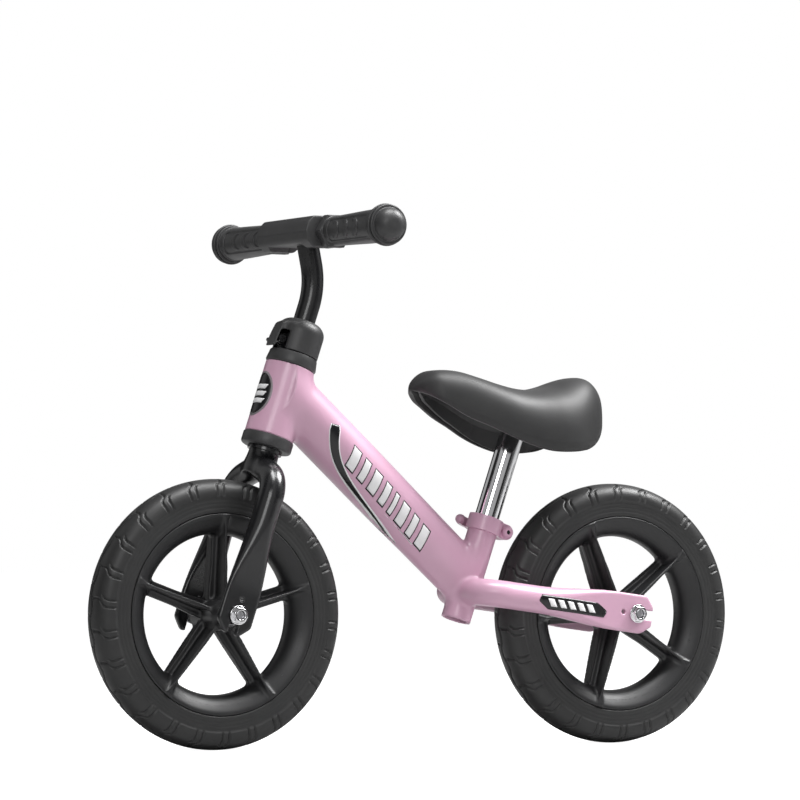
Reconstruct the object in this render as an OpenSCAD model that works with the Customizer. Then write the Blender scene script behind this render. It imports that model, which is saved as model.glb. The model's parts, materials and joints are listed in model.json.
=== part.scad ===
// Balance bike: steel frame and fork, foam-tyred wheels, adjustable handlebar and saddle.
// Millimetres. +X is the way it rolls, +Y the rider's left, +Z up.
// The origin is on the ground, midway between the wheels, in the bike's centre plane.

/* [Wheels] */
// Outside diameter of both tyres
wheel_d = 290; // [260:1:320]
// Width of a tyre
tyre_w = 46; // [40:1:50]
// Diameter of the rim's lips, where the tyre ends
rim_d = 216; // [190:1:222]
// Distance between the two wheel axles
wheelbase = 494; // [470:1:560]
// Number of spokes in each wheel
spoke_count = 5; // [4, 5, 6]
// Thickness of a spoke's flat web
web_t = 8; // [6:0.5:10]
// Thickness of the fin that stands on each web
fin_t = 3.2; // [2.5:0.1:4.5]
// Diameter of the wheel axles
axle_d = 10; // [8:0.5:12]
// Outside diameter of a hub bearing
bearing_d = 26; // [22:1:30]
// Width of a hub bearing
bearing_w = 8; // [7:0.5:9]

/* [Steering] */
// Angle of the steering axis back from upright
steer_lean = 18.5; // [14:0.5:22]
// Room between the tyre and the fork's arch
arch_gap = 10; // [8:0.5:16]
// Diameter of the round part of a fork leg
fork_d = 28; // [24:0.5:30]
// Angle at which the legs spread from the crown
fork_spread = 70; // [62:1:74]
// Centre-line radius of the fork's shoulder
shoulder_r = 30; // [27:1:32]
// Outside diameter of the head tube
head_d = 54; // [52:0.5:60]
// Length of the head tube
head_len = 80; // [70:1:96]
// Wall of the head tube
head_wall = 3; // [2.5:0.25:4]
// Height of the ring under the head tube
lower_cup_h = 13; // [12:0.5:16]
// Height of the ring on top of the head tube
upper_cup_h = 14; // [12:0.5:17]
// Height of a steering bearing
head_bearing_h = 8; // [7:0.5:9]
// Wall of the steerer tube
steerer_wall = 2.9; // [2.5:0.1:3.5]
// Height of the domed cover over the steering clamp
cover_h = 38; // [36:1:46]

/* [Handlebar] */
// Diameter of the handlebar's stem
stem_d = 24; // [21:0.5:25.4]
// Radius of the bend in the stem
stem_bend_r = 90; // [75:1:110]
// Angle that the stem bends forward
stem_bend = 30; // [20:1:35]
// Straight stem above the bend
stem_top = 32; // [28:1:45]
// Overall width of the handlebar over its ball ends
bar_w = 412; // [370:1:460]
// Diameter of the handlebar's tube
bar_d = 22; // [20:0.5:24]
// Width of the cover in the middle of the bar
bar_cover_w = 120; // [100:1:140]
// Diameter of the ball at the end of a grip
ball_d = 47; // [42:1:50]

/* [Frame] */
// Outside diameter of the main tube at the head
main_d = 60; // [54:0.5:62]
// Wall of the main tube
main_wall = 2; // [1.5:0.25:3]
// Angle of the seat tube back from upright
seat_lean = 19; // [16:0.5:22]
// Inside diameter of the seat tube
seat_bore = 27.4; // [25:0.2:28]
// Wall of the seat tube
seat_wall = 2.8; // [2.4:0.1:3.4]
// Length of the seat tube
seat_tube_len = 118; // [112:1:135]
// Diameter of the round part of a chainstay
stay_d = 30; // [26:0.5:31]
// Distance between the inner faces of the dropouts, front and rear
drop_gap = 84; // [82:0.5:92]
// Thickness of a flattened dropout blade
blade_t = 7; // [6:0.5:8]
// Height of a flattened dropout blade
blade_h = 43; // [38:1:46]

/* [Saddle] */
// Length of the saddle
saddle_len = 236; // [215:1:260]
// Greatest width of the saddle
saddle_w = 140; // [125:1:155]
// Height of the saddle's middle over the seat tube's foot
saddle_rise = 255; // [250:1:275]
// Thickness of the padding
pad_t = 11; // [8:0.5:12]
// Height of the collar at the top of the seat tube
collar_h = 17; // [15:0.5:20]

/* [Hidden] */
$fn = 64;

// Clearances: what slides or turns, what is pushed home, and what only passes by
slip = 0.1;
seated = 0.02;
gap = 0.3;
over = 1;
hair = 0.15;
lap = 0.6;
disc_t = 0.1;

pink = [0.78, 0.61, 0.70];
black = [0.12, 0.12, 0.12];
soft_black = [0.18, 0.18, 0.18];
chrome = [0.82, 0.82, 0.84];
steel = [0.55, 0.55, 0.57];

wheel_r = wheel_d / 2;
front_x = wheelbase / 2;
rear_x = -wheelbase / 2;
axle_r = axle_d / 2;

// Hub and dropouts, across the bike from the centre plane
drop_in = drop_gap / 2;
drop_mid = drop_in + blade_t / 2;
drop_out = drop_in + blade_t;
hub_end = drop_in - 5;
washer_t = 1.5;
nut_t = 8;
nut_flange_r = axle_r + 5.5;
nut_out = drop_out + washer_t + nut_t;
axle_end = nut_out + 3.5;
tip_r = axle_r - 0.5;
tip_y = nut_out + 0.6;
hub_r = bearing_d / 2 + 4;
lip_y = tyre_w / 2 - 0.5;

// The channel that the tyre sits in: its bed, and how wide it is at the bed and at the lips
bed_r = rim_d / 2 - 10;
mouth_y = lip_y - 3.5;
bed_y = mouth_y - 2.2;

// Reach and tip of the washers' arms, and how far each wheel is turned at rest
tab_reach = 17;
tab_r = 2.2;
front_turn = -2;
rear_turn = 21;

// Steering stations, measured from the front axle up the steering axis
stem_r = stem_d / 2;
steerer_r = stem_r + slip + steerer_wall;
fork_r = fork_d / 2;
leg_y = drop_mid - 3.5;
leg_wall = 2.2;
blade_s = 36;
arch_s = wheel_r + arch_gap + fork_r;
race_s = arch_s + fork_r + 1;
cup_s = race_s + 4;
head_s = cup_s + lower_cup_h;
head_top_s = head_s + head_len;
cover_s = head_top_s + upper_cup_h + 0.5;
cover_top_s = cover_s + cover_h;
clamp_s = cover_s + 2;
clamp_h = 16;
steerer_top_s = clamp_s + clamp_h + 2;
head_r = head_d / 2;
cup_r = head_r + 1;
cup_bore_r = head_r - head_wall;
head_bearing_r = steerer_r + 5;
race_h = cup_s - race_s + 2;
lower_bearing_s = race_s + race_h + gap;
upper_bearing_s = head_top_s + 3;
clamp_ring_r = steerer_r + 5;
cover_r = head_r - 1;
cover_wall = 2.5;
ear_x = steerer_r + 8.5;
ear_r = 5;
ear_end = ear_x + ear_r;

// Stem and bar
bend_s = cover_top_s + 17.5;
stem_foot_s = steerer_top_s - 85;
bar_r = bar_d / 2;
cover_half = bar_cover_w / 2;
grip_len = bar_w / 2 - cover_half;

// Seat tube, measured from its foot up its axis
seat_foot_x = rear_x + wheel_r + 54;
seat_foot_z = wheel_r - 7;
seat_r = seat_bore / 2 + seat_wall;
post_r = seat_bore / 2 - slip;
collar_s = seat_tube_len - collar_h + over;
collar_r = seat_r + 3;
skewer_x = -(collar_r + 4.5);
skewer_s = collar_s + collar_h / 2;
pin_y = -15;
post_foot_s = 19;

// Chainstays, in a plane that drops from the seat tube to the rear axle
stay_s = 33;
stay_r = stay_d / 2;
stay_x = seat_foot_x - stay_s * sin(seat_lean);
stay_z = seat_foot_z + stay_s * cos(seat_lean);
stay_slope = atan2(stay_z - wheel_r, stay_x - rear_x);
stay_len = norm([stay_z - wheel_r, stay_x - rear_x]);
stay_y = drop_mid - 1.5;
stay_wall = 2;
stay_bend_r = 26;

// Main tube, from a point on the steering axis to a point on the seat tube's axis
main_head = [front_x - (head_s + 52) * sin(steer_lean), 0, wheel_r + (head_s + 52) * cos(steer_lean)];
main_foot = [seat_foot_x - 44 * sin(seat_lean), 0, seat_foot_z + 44 * cos(seat_lean)];
main_run = main_head - main_foot;
main_len = norm(main_run);
main_tilt = atan2(main_run[0], main_run[2]);
round_share = 0.55;

// Saddle, from its nose backwards
saddle_x = seat_foot_x + 56;
saddle_z = seat_foot_z + saddle_rise;
plate_z = saddle_z - pad_t - 19;
plate_t = 3;
post_top_s = (plate_z - seat_foot_z) / cos(seat_lean) + post_r;
post_x = seat_foot_x - (plate_z - seat_foot_z) * tan(seat_lean);

// ---------- places ----------

module on_steering(s)
  translate([front_x, 0, wheel_r]) rotate([0, -steer_lean, 0]) translate([0, 0, s]) children();

module on_seat(s)
  translate([seat_foot_x, 0, seat_foot_z]) rotate([0, -seat_lean, 0]) translate([0, 0, s]) children();

module at_bar()
  on_steering(bend_s)
    translate([stem_bend_r * (1 - cos(stem_bend)), 0, stem_bend_r * sin(stem_bend)])
      rotate([0, stem_bend, 0]) translate([0, 0, stem_top])
        rotate([0, steer_lean - stem_bend, 0]) children();

module at_stay()
  translate([stay_x, 0, stay_z]) rotate([0, -stay_slope, 0]) children();

module across(y)
  translate([0, y, 0]) rotate([-90, 0, 0]) children();

module both_sides() {
  children();
  mirror([0, 1, 0]) children();
}

// ---------- common shapes ----------

module ring(r_out, r_in, h)
  difference() {
    cylinder(r = r_out, h = h);
    translate([0, 0, -over]) cylinder(r = r_in, h = h + 2 * over);
  }

// A bent rod that starts at the origin up Z and turns towards +X, a hair thinner than
// the straight lengths that lap over its ends
module bent_rod(turn_r, r, angle)
  translate([turn_r, 0, 0]) rotate([0, 0, 180]) rotate([90, 0, 0])
    rotate_extrude(angle = angle, $fn = 96) translate([turn_r, 0]) circle(r = r - hair);

module bend(turn_r, r_out, r_in, angle)
  difference() {
    bent_rod(turn_r, r_out, angle);
    translate([0, 0, -over]) cylinder(r = r_in, h = over);
    bent_rod(turn_r, r_in + 2 * hair, angle);
  }

// A hexagon nut with a round flange at its foot
module flange_nut(bore_r, flat_w, flange_r, h)
  difference() {
    union() {
      cylinder(r = flange_r, h = h * 0.3);
      cylinder(r = flat_w / 2 / cos(30), h = h, $fn = 6);
    }
    translate([0, 0, -over]) cylinder(r = bore_r, h = h + 2 * over);
  }

// ---------- wheels, modelled on their own axle along Y ----------

function tyre_half(steps) = [
  for (i = [0 : steps])
    let (a = 90 - 180 * i / steps, w = tyre_w / 2, crown = (wheel_r - rim_d / 2) * 0.52)
    [wheel_r - crown + crown * pow(max(cos(a), 0), 0.8), w * (a < 0 ? -1 : 1) * pow(abs(sin(a)), 0.8)]
];

module tyre() {
  bed = bed_r + gap;
  lip = rim_d / 2 + gap;
  side = tyre_w / 2;
  in_bed = bed_y - 0.4;
  in_mouth = mouth_y - 0.4;
  rotate([90, 0, 0]) rotate_extrude($fn = 128)
    polygon(concat(
      [[bed, -in_bed], [lip, -in_mouth], [lip, -side + 0.6], [lip + 1.7, -side]],
      [for (p = tyre_half(20)) [p[0], -p[1]]],
      [[lip + 1.7, side], [lip, side - 0.6], [lip, in_mouth], [bed, in_bed]]
    ));
}

// One side of a fin, from the hub out under the lip and back into the channel's wall
function fin_edge(side) = [
  [hub_r - 3, side * (lip_y + 3.5)], [bed_r - 4, side * (lip_y - 3)], [bed_r + 6, side * (lip_y - 1.5)],
  [bed_r + 6, side * (mouth_y - 0.2)], [bed_r - 0.5, side * bed_y]
];

module rim() {
  lip_r = rim_d / 2;
  waist_r = lip_r - 22;
  steps = 12;
  difference() {
    union() {
      rotate([90, 0, 0]) rotate_extrude($fn = 128)
        polygon(concat(
          [[lip_r, -lip_y], [lip_r, -mouth_y], [bed_r, -bed_y], [bed_r, bed_y], [lip_r, mouth_y], [lip_r, lip_y]],
          [for (i = [0 : steps]) let (y = 1 - 2 * i / steps)
            [waist_r + 19 * pow(abs(y), 2.6), lip_y * y]]
        ));
      across(-hub_end) cylinder(r = hub_r, h = 2 * hub_end);
      for (i = [0 : spoke_count - 1])
        rotate([0, 360 / spoke_count * i, 0]) {
          translate([-9, -web_t / 2, hub_r - 4]) cube([18, web_t, waist_r - hub_r + 7]);
          translate([fin_t / 2, 0, 0]) rotate([0, -90, 0]) linear_extrude(fin_t)
            polygon(concat(fin_edge(1), reverse(fin_edge(-1))));
        }
    }
    across(-hub_end - over) cylinder(r = bearing_d / 2 + seated, h = bearing_w + over);
    across(hub_end - bearing_w) cylinder(r = bearing_d / 2 + seated, h = bearing_w + over);
    across(-hub_end) cylinder(r = bearing_d / 2 - 3, h = 2 * hub_end);
  }
}

module hub_bearings()
  both_sides() across(hub_end - bearing_w) ring(bearing_d / 2, axle_r + slip / 2, bearing_w);

module hub_spacer()
  across(bearing_w - hub_end + gap / 2)
    ring(axle_r + 3, axle_r + 2 * gap, 2 * (hub_end - bearing_w) - gap);

module front_wheel_place() translate([front_x, 0, wheel_r]) children();
module rear_wheel_place() translate([rear_x, 0, wheel_r]) children();

module front_tyre() color(soft_black) front_wheel_place() tyre();
module rear_tyre() color(soft_black) rear_wheel_place() tyre();
module front_rim() color(black) front_wheel_place() rotate([0, front_turn, 0]) rim();
module rear_rim() color(black) rear_wheel_place() rotate([0, rear_turn, 0]) rim();
module front_bearings() color(steel) front_wheel_place() hub_bearings();
module rear_bearings() color(steel) rear_wheel_place() hub_bearings();
module front_hub_spacer() color(steel) front_wheel_place() hub_spacer();
module rear_hub_spacer() color(steel) rear_wheel_place() hub_spacer();

// ---------- axle hardware ----------

// The thread ends in a short plain tip beyond each nut
module axle() {
  across(-axle_end) cylinder(r = tip_r, h = 2 * axle_end);
  across(-nut_out) cylinder(r = axle_r, h = 2 * nut_out);
  both_sides() across(nut_out - 0.1) cylinder(r1 = axle_r, r2 = tip_r, h = tip_y - nut_out + 0.1);
}

module axle_nuts()
  both_sides() across(drop_out + washer_t) flange_nut(axle_r + seated, 15, nut_flange_r, nut_t);

module locknuts()
  both_sides() across(hub_end + gap) ring(axle_r + 4, axle_r + seated, drop_in - hub_end - gap);

// Washer with an arm whose bent tip hooks into a hole in the dropout, above the axle in its own frame
module tab_washers()
  both_sides() across(drop_out) difference() {
    union() {
      cylinder(r = nut_flange_r + 1, h = washer_t);
      translate([-3, -tab_reach, 0]) cube([6, tab_reach, washer_t]);
      translate([0, -tab_reach, 0]) cylinder(r = 3, h = washer_t);
      translate([0, -tab_reach, -2.5]) cylinder(r = tab_r, h = 3);
    }
    translate([0, 0, -over]) cylinder(r = axle_r + seated, h = washer_t + 2 * over);
  }

module front_axle() color(steel) front_wheel_place() axle();
module front_axle_nuts() color(chrome) front_wheel_place() axle_nuts();
module front_locknuts() color(steel) front_wheel_place() locknuts();
module front_tab_washers() color(chrome) on_steering(0) tab_washers();
module rear_axle() color(steel) rear_wheel_place() axle();
module rear_axle_nuts() color(chrome) rear_wheel_place() rotate([0, 12, 0]) axle_nuts();
module rear_locknuts() color(steel) rear_wheel_place() locknuts();
module rear_tab_washers() color(chrome) rear_wheel_place() rotate([0, 90 - stay_slope, 0]) tab_washers();

// ---------- fork ----------

module steerer_tube() color(black) on_steering(arch_s - 12) difference() {
  ring(steerer_r, stem_r + slip, steerer_top_s - arch_s + 12);
  translate([0, -1.25, steerer_top_s - arch_s - 18]) cube([steerer_r + over, 2.5, 40]);
}

// One leg, on the left: out from the crown, round the shoulder, down, and flat at the dropout
// One leg from the crown down to its flattened end, or its hollow when inset by the wall
module leg_form(inset) {
  r = fork_r - inset;
  half = blade_h / 2 - 1 - inset;
  side = inset > 0 ? 1 : blade_t / 2;
  drop = inset > 0 ? 4 : 0;
  out_y = shoulder_r * (1 - cos(fork_spread));
  arm = (leg_y - out_y) / sin(fork_spread);
  leg_top = arch_s - arm * cos(fork_spread) - shoulder_r * sin(fork_spread);
  taper_s = leg_top * 0.68;
  translate([0, 0, arch_s]) rotate([fork_spread - 180, 0, 0]) {
    cylinder(r = r, h = arm + lap);
    translate([0, 0, arm]) rotate([0, 0, 90]) bent_rod(shoulder_r, r, fork_spread);
  }
  translate([0, leg_y, taper_s]) cylinder(r = r, h = leg_top - taper_s + lap);
  hull() {
    translate([0, leg_y, taper_s]) cylinder(r = r - hair, h = disc_t, $fn = 32);
    translate([-half, drop_mid - side, blade_s + drop]) cube([2 * half, 2 * side, disc_t]);
  }
}

module fork_leg() {
  half = blade_h / 2 - 1;
  difference() {
    union() {
      leg_form(0);
      translate([0, drop_out, 0]) rotate([90, 0, 0]) linear_extrude(blade_t)
        polygon([[-half, blade_s], [half, blade_s], [half, -9], [half - 11, -21], [11 - half, -21], [-half, -9]]);
    }
    leg_form(leg_wall);
    translate([0, 0, arch_s - 30]) cylinder(r = steerer_r, h = 60);
    translate([-60, -60, 0]) cube([120, 60, 2 * arch_s]);
    across(drop_in - over) cylinder(r = axle_r + slip, h = blade_t + 2 * over);
    translate([-axle_r - slip, drop_in - over, -40]) cube([2 * (axle_r + slip), blade_t + 2 * over, 40]);
    translate([0, 0, tab_reach]) across(drop_in - over) cylinder(r = tab_r + gap, h = blade_t + 2 * over);
  }
}

module fork_leg_left() color(black) on_steering(0) fork_leg();
module fork_leg_right() color(black) on_steering(0) mirror([0, 1, 0]) fork_leg();

module crown_race() color(steel) on_steering(race_s) ring(head_bearing_r - 1, steerer_r + seated, race_h);

module headset_spacer() color(steel)
  on_steering(upper_bearing_s + head_bearing_h + gap)
    ring(head_bearing_r - 1, steerer_r + seated, clamp_s - upper_bearing_s - head_bearing_h - gap);

module steering_clamp() color(soft_black) on_steering(clamp_s) difference() {
  union() {
    cylinder(r = clamp_ring_r, h = clamp_h);
    translate([steerer_r, -7, clamp_h / 2 - ear_r]) cube([ear_x - steerer_r, 14, 2 * ear_r]);
    translate([ear_x, 7, clamp_h / 2]) rotate([90, 0, 0]) cylinder(r = ear_r, h = 14);
  }
  translate([0, 0, -over]) cylinder(r = steerer_r + seated, h = clamp_h + 2 * over);
  translate([0, -1.5, -over]) cube([ear_end + 10, 3, clamp_h + 2 * over]);
  translate([ear_x, 10, clamp_h / 2]) rotate([90, 0, 0]) cylinder(r = 2.6, h = 20);
}

module clamp_bolt() color(steel) on_steering(clamp_s + clamp_h / 2) translate([ear_x, 0, 0]) difference() {
  union() {
    across(-24) cylinder(r = 2.5, h = 32);
    across(7) cylinder(r = 4.2, h = 4.5);
  }
  across(9) cylinder(r = 2.3, h = 4, $fn = 6);
}

module clamp_nut() color(steel) on_steering(clamp_s + clamp_h / 2) translate([ear_x, 0, 0])
  across(-11) difference() {
    cylinder(r = 4.6, h = 4, $fn = 6);
    translate([0, 0, -over]) cylinder(r = 2.5 + seated, h = 6);
  }

// Dome over the clamp, with a hood in front that is open at both sides round the clamp's ears
module clamp_cover() color(soft_black) on_steering(cover_s) {
  shoulder = 16;
  straight = cover_h - shoulder;
  difference() {
    union() {
      dome(cover_r, straight, shoulder, 0);
      translate([0, 10, 0]) rotate([90, 0, 0]) linear_extrude(20) hood_outline(0);
    }
    translate([0, 0, -over]) dome(cover_r - cover_wall, straight + over, shoulder - cover_wall, 0);
    translate([0, 20, -over]) rotate([90, 0, 0]) linear_extrude(40) hood_outline(cover_wall);
    translate([0, 0, cover_h / 2]) cylinder(r = stem_r + 0.5, h = cover_h);
  }
}

module hood_outline(inset)
  polygon([
    [cover_r - 8, 0], [ear_end + 3 - inset, 0], [ear_end + 3.2 - inset, 14],
    [cover_r + 2 - inset, cover_h - 9 - 1.4 * inset], [cover_r - 8, cover_h - 9 - 1.4 * inset]
  ]);

module dome(r, straight, shoulder, inset)
  rotate_extrude($fn = 96)
    polygon(concat(
      [[0, 0], [r, 0]],
      [for (a = [0 : 10 : 90]) [r - 12 * (1 - cos(a)), straight + shoulder * sin(a)]],
      [[0, straight + shoulder]]
    ));

// ---------- head set in the frame ----------

module head_tube() color(pink) on_steering(head_s) ring(head_r, cup_bore_r, head_len);

module lower_cup() color(soft_black) on_steering(cup_s) difference() {
  union() {
    cylinder(r1 = cup_r - 1.5, r2 = cup_r, h = 1.5);
    translate([0, 0, 1.5]) cylinder(r = cup_r, h = lower_cup_h - 1.5);
    cylinder(r = cup_bore_r - seated, h = lower_cup_h + 8);
  }
  translate([0, 0, -over]) cylinder(r = head_bearing_r + seated, h = lower_bearing_s + head_bearing_h - cup_s + over);
  cylinder(r = steerer_r + 1.5, h = lower_cup_h + 9);
}

module upper_cup() color(soft_black) on_steering(head_top_s) difference() {
  union() {
    cylinder(r1 = cup_r, r2 = cover_r, h = upper_cup_h);
    translate([0, 0, -8]) cylinder(r = cup_bore_r - seated, h = 9);
  }
  translate([0, 0, upper_bearing_s - head_top_s]) cylinder(r = head_bearing_r + seated, h = upper_cup_h);
  translate([0, 0, -9]) cylinder(r = steerer_r + 1.5, h = 20);
}

module lower_bearing() color(steel)
  on_steering(lower_bearing_s) ring(head_bearing_r, steerer_r + slip / 2, head_bearing_h);
module upper_bearing() color(steel)
  on_steering(upper_bearing_s) ring(head_bearing_r, steerer_r + slip / 2, head_bearing_h);

// ---------- handlebar ----------

module stem_tube() color(black) {
  wall = 2;
  on_steering(stem_foot_s) ring(stem_r, stem_r - wall, bend_s - stem_foot_s + lap);
  on_steering(bend_s) {
    bend(stem_bend_r, stem_r, stem_r - wall, stem_bend);
    translate([stem_bend_r * (1 - cos(stem_bend)), 0, stem_bend_r * sin(stem_bend)])
      rotate([0, stem_bend, 0]) difference() {
        translate([0, 0, -lap]) ring(stem_r, stem_r - wall, stem_top - bar_r / 2 + lap);
        translate([0, 0, stem_top]) across(-2 * stem_r) cylinder(r = bar_r, h = 4 * stem_r);
      }
  }
}

module handlebar_tube() color(black)
  at_bar() across(14 - bar_w / 2) ring(bar_r, bar_r - 1.8, bar_w - 28);

// Eight-sided section of the middle cover, reaching further forward than back
module cover_section(inset) {
  front = 31 - inset;
  back = 17 - inset;
  half = 17 - inset;
  cut = 10 - inset * 0.6;
  polygon([[front, half - cut], [front, cut - half], [front - cut, -half], [cut - back, -half],
           [-back, cut - half], [-back, half - cut], [cut - back, half], [front - cut, half]]);
}

// The two shells that close round the bar; side is 1 in front and -1 behind
module bar_cover(side) {
  wall = 2.5;
  at_bar() difference() {
    translate([0, cover_half - gap, 0]) rotate([90, 0, 0]) linear_extrude(bar_cover_w - 2 * gap)
      cover_section(0);
    translate([0, cover_half - gap - wall, 0]) rotate([90, 0, 0])
      linear_extrude(bar_cover_w - 2 * gap - 2 * wall) cover_section(wall);
    across(-cover_half - over) cylinder(r = bar_r + seated, h = bar_cover_w + 2 * over);
    rotate([0, stem_bend - steer_lean, 0]) translate([0, 0, -60]) cylinder(r = stem_r + gap, h = 60);
    translate([-60, -30, -20]) cube([120, 60, 7.5]);
    translate([side > 0 ? seated - 120 : 0, -100, -50]) cube([120, 200, 100]);
    if (side < 0)
      for (y = [-45, 45]) translate([-40, y, 0]) rotate([0, 90, 0]) cylinder(r = 2, h = 40);
  }
}

module bar_cover_front() color(soft_black) bar_cover(1);
module bar_cover_rear() color(soft_black) bar_cover(-1);

module bar_cover_screws() color(steel)
  at_bar() for (y = [-45, 45]) translate([-17, y, 0]) rotate([0, -90, 0]) difference() {
    cylinder(r1 = 4, r2 = 3, h = 2);
    translate([0, 0, 1]) cube([1, 5, 3], center = true);
  }

// A grip on the left end of the bar, from its hexagon collar out to the ball
module grip() {
  ball_r = ball_d / 2;
  body_end = grip_len - 34;
  difference() {
    union() {
      cylinder(r = 19.5, h = 11, $fn = 6);
      rotate_extrude() polygon(concat(
        [[0, 1], [16, 1], [16.5, 12]],
        [for (i = [1 : 5]) [16.5 + 1.8 * sin(18 * i), 12 + (body_end - 12) * i / 5]],
        [[19, body_end + 1], [19, body_end + 4], [20.5, body_end + 5], [20.5, body_end + 9],
         [ball_r - 1.5, body_end + 11], [ball_r, body_end + 14], [ball_r, body_end + 19],
         [ball_r - 1.5, body_end + 21], [ball_r - 4, body_end + 22]],
        [for (i = [0 : 6]) [17.3 * cos(15 * i), body_end + 22 + 12 * sin(15 * i)]]
      ));
    }
    translate([0, 0, -over]) cylinder(r = bar_r + seated, h = grip_len - 14 + over + gap);
  }
}

module grip_left() color(soft_black) at_bar() across(cover_half) rotate([0, 0, 90]) grip();
module grip_right() color(soft_black) at_bar() mirror([0, 1, 0]) across(cover_half) rotate([0, 0, 90]) grip();

// ---------- frame ----------

// Round at the head and narrow, from side to side, where it meets the seat tube
module main_shell(inset) {
  flat = (seat_r - 0.8) / (main_d / 2);
  hull() {
    translate([0, 0, main_len * round_share]) cylinder(r = main_d / 2 - inset, h = 0.1, $fn = 48);
    translate([0, 0, -4]) linear_extrude(0.1) scale([1, flat]) circle(r = main_d / 2 - inset, $fn = 48);
  }
}

module main_tube() color(pink) difference() {
  translate(main_foot) rotate([0, main_tilt, 0]) {
    difference() {
      main_shell(0);
      main_shell(main_wall);
    }
    translate([0, 0, main_len * round_share])
      ring(main_d / 2, main_d / 2 - main_wall, main_len * (1 - round_share));
  }
  on_steering(head_s - 60) cylinder(r = head_r, h = head_len + 120);
  on_seat(-20) cylinder(r = seat_r, h = seat_tube_len + 60);
  on_seat(-20) translate([-200, -60, 0]) cube([200, 120, 300]);
  on_steering(head_s - 60) translate([0, -60, 0]) cube([200, 120, 300]);
  at_stay() across(-stay_y) cylinder(r = stay_r, h = 2 * stay_y);
}

module seat_tube() color(pink) on_seat(0) difference() {
  ring(seat_r, seat_bore / 2, seat_tube_len);
  translate([-seat_r - over, -1, collar_s + 1]) cube([seat_r, 2, 40]);
}

// One stay from the seat tube back to its flattened end, or its hollow when inset by the wall
module stay_form(inset) {
  r = stay_r - inset;
  half = blade_h / 2 - inset;
  side = inset > 0 ? 1 : blade_t / 2;
  start_y = stay_y - stay_bend_r;
  taper_at = 58;
  flat_at = stay_len - (inset > 0 ? 26 : 20);
  across(0) cylinder(r = r, h = start_y);
  translate([-stay_bend_r, start_y, 0])
    rotate_extrude(angle = 90, $fn = 96) translate([stay_bend_r, 0]) circle(r = r);
  translate([-stay_bend_r, stay_y, 0]) rotate([0, -90, 0]) cylinder(r = r, h = taper_at - stay_bend_r);
  hull() {
    translate([disc_t - taper_at, stay_y, 0]) rotate([0, -90, 0]) cylinder(r = r - hair, h = disc_t, $fn = 32);
    translate([-flat_at, drop_mid - side, -half]) cube([disc_t, 2 * side, 2 * half]);
  }
}

module chainstay() {
  difference() {
    at_stay() difference() {
      union() {
        stay_form(0);
        translate([-stay_len, drop_out, 0]) rotate([90, 0, 0]) linear_extrude(blade_t)
          polygon([[20, blade_h / 2], [20, -blade_h / 2], [-8, -blade_h / 2], [-21, 9 - blade_h / 2],
                   [-21, blade_h / 2 - 12], [-12, blade_h / 2 - 1]]);
      }
      stay_form(stay_wall);
      translate([-stay_len, 0, 0]) {
        across(drop_in - over) cylinder(r = axle_r + slip, h = blade_t + 2 * over);
        translate([-40, drop_in - over, -axle_r - slip]) cube([40, blade_t + 2 * over, 2 * (axle_r + slip)]);
        translate([tab_reach, 0, 0]) across(drop_in - over) cylinder(r = tab_r + gap, h = blade_t + 2 * over);
      }
    }
    on_seat(0) cylinder(r = seat_r, h = seat_tube_len);
    translate([stay_x - 60, -80, stay_z - 60]) cube([120, 80, 120]);
  }
}

module chainstay_left() color(pink) chainstay();
module chainstay_right() color(pink) mirror([0, 1, 0]) chainstay();

// ---------- seat clamp ----------

module seat_collar() color(pink) on_seat(collar_s) difference() {
  union() {
    cylinder(r = collar_r, h = collar_h);
    translate([skewer_x, -9, 0]) cube([-skewer_x - seat_r + 2, 18, collar_h]);
    translate([skewer_x, 9, collar_h / 2]) rotate([90, 0, 0]) cylinder(r = collar_h / 2, h = 18);
  }
  translate([0, 0, -over]) cylinder(r = seat_r + seated, h = collar_h);
  cylinder(r = post_r + gap, h = collar_h + over);
  translate([skewer_x - 20, -1.2, -over]) cube([20 - skewer_x, 2.4, collar_h + 2 * over]);
  translate([skewer_x, 12, collar_h / 2]) rotate([90, 0, 0]) cylinder(r = 2.6, h = 24);
}

// Cross bolt of the quick release, with an eye for the lever's pin at its right end
module seat_skewer() color(chrome) on_seat(skewer_s) translate([skewer_x, 0, 0]) difference() {
  union() {
    across(pin_y) cylinder(r = 2.5, h = 14 - pin_y);
    translate([0, pin_y, -3]) cylinder(r = 3.6, h = 6);
  }
  translate([0, pin_y, -5]) cylinder(r = 1.5 + seated, h = 10);
}

module seat_thumb_nut() color(pink) on_seat(skewer_s) translate([skewer_x, 0, 0])
  across(9 + seated) difference() {
    union() {
      cylinder(r = 6.5, h = 4);
      translate([0, 0, 4]) cylinder(r1 = 6.5, r2 = 5, h = 2);
    }
    translate([0, 0, -over]) cylinder(r = 2.5 + seated, h = 8);
  }

module lever_pin() color(chrome) on_seat(skewer_s) translate([skewer_x, pin_y, -6.5]) cylinder(r = 1.5, h = 13);

// Lever: a forked cam on the pin and an arm that curves forward round the collar
module seat_lever() color(pink) on_seat(skewer_s) translate([skewer_x, pin_y, 0]) difference() {
  arm_r = collar_r + 6.5;
  union() {
    translate([0, 0, -6.5]) cylinder(r = 5.5, h = 13);
    difference() {
      intersection() {
        translate([-skewer_x, -pin_y, -5]) ring(arm_r + 5.5, arm_r, 10);
        translate([1, -60, -20]) cube([60, 60 - 2, 40]);
      }
      translate([-skewer_x + 22, -pin_y - 60, -20]) cube([60, 120, 40]);
    }
    translate([-skewer_x + 21, -pin_y - sqrt(pow(arm_r + 2.7, 2) - 441), 0]) sphere(r = 5.4);
  }
  translate([0, 0, -8]) cylinder(r = 1.5 + slip / 2, h = 16);
  translate([-7, -6.5, -3 - gap]) cube([14, 14, 6 + 2 * gap]);
}

// ---------- saddle ----------

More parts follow.
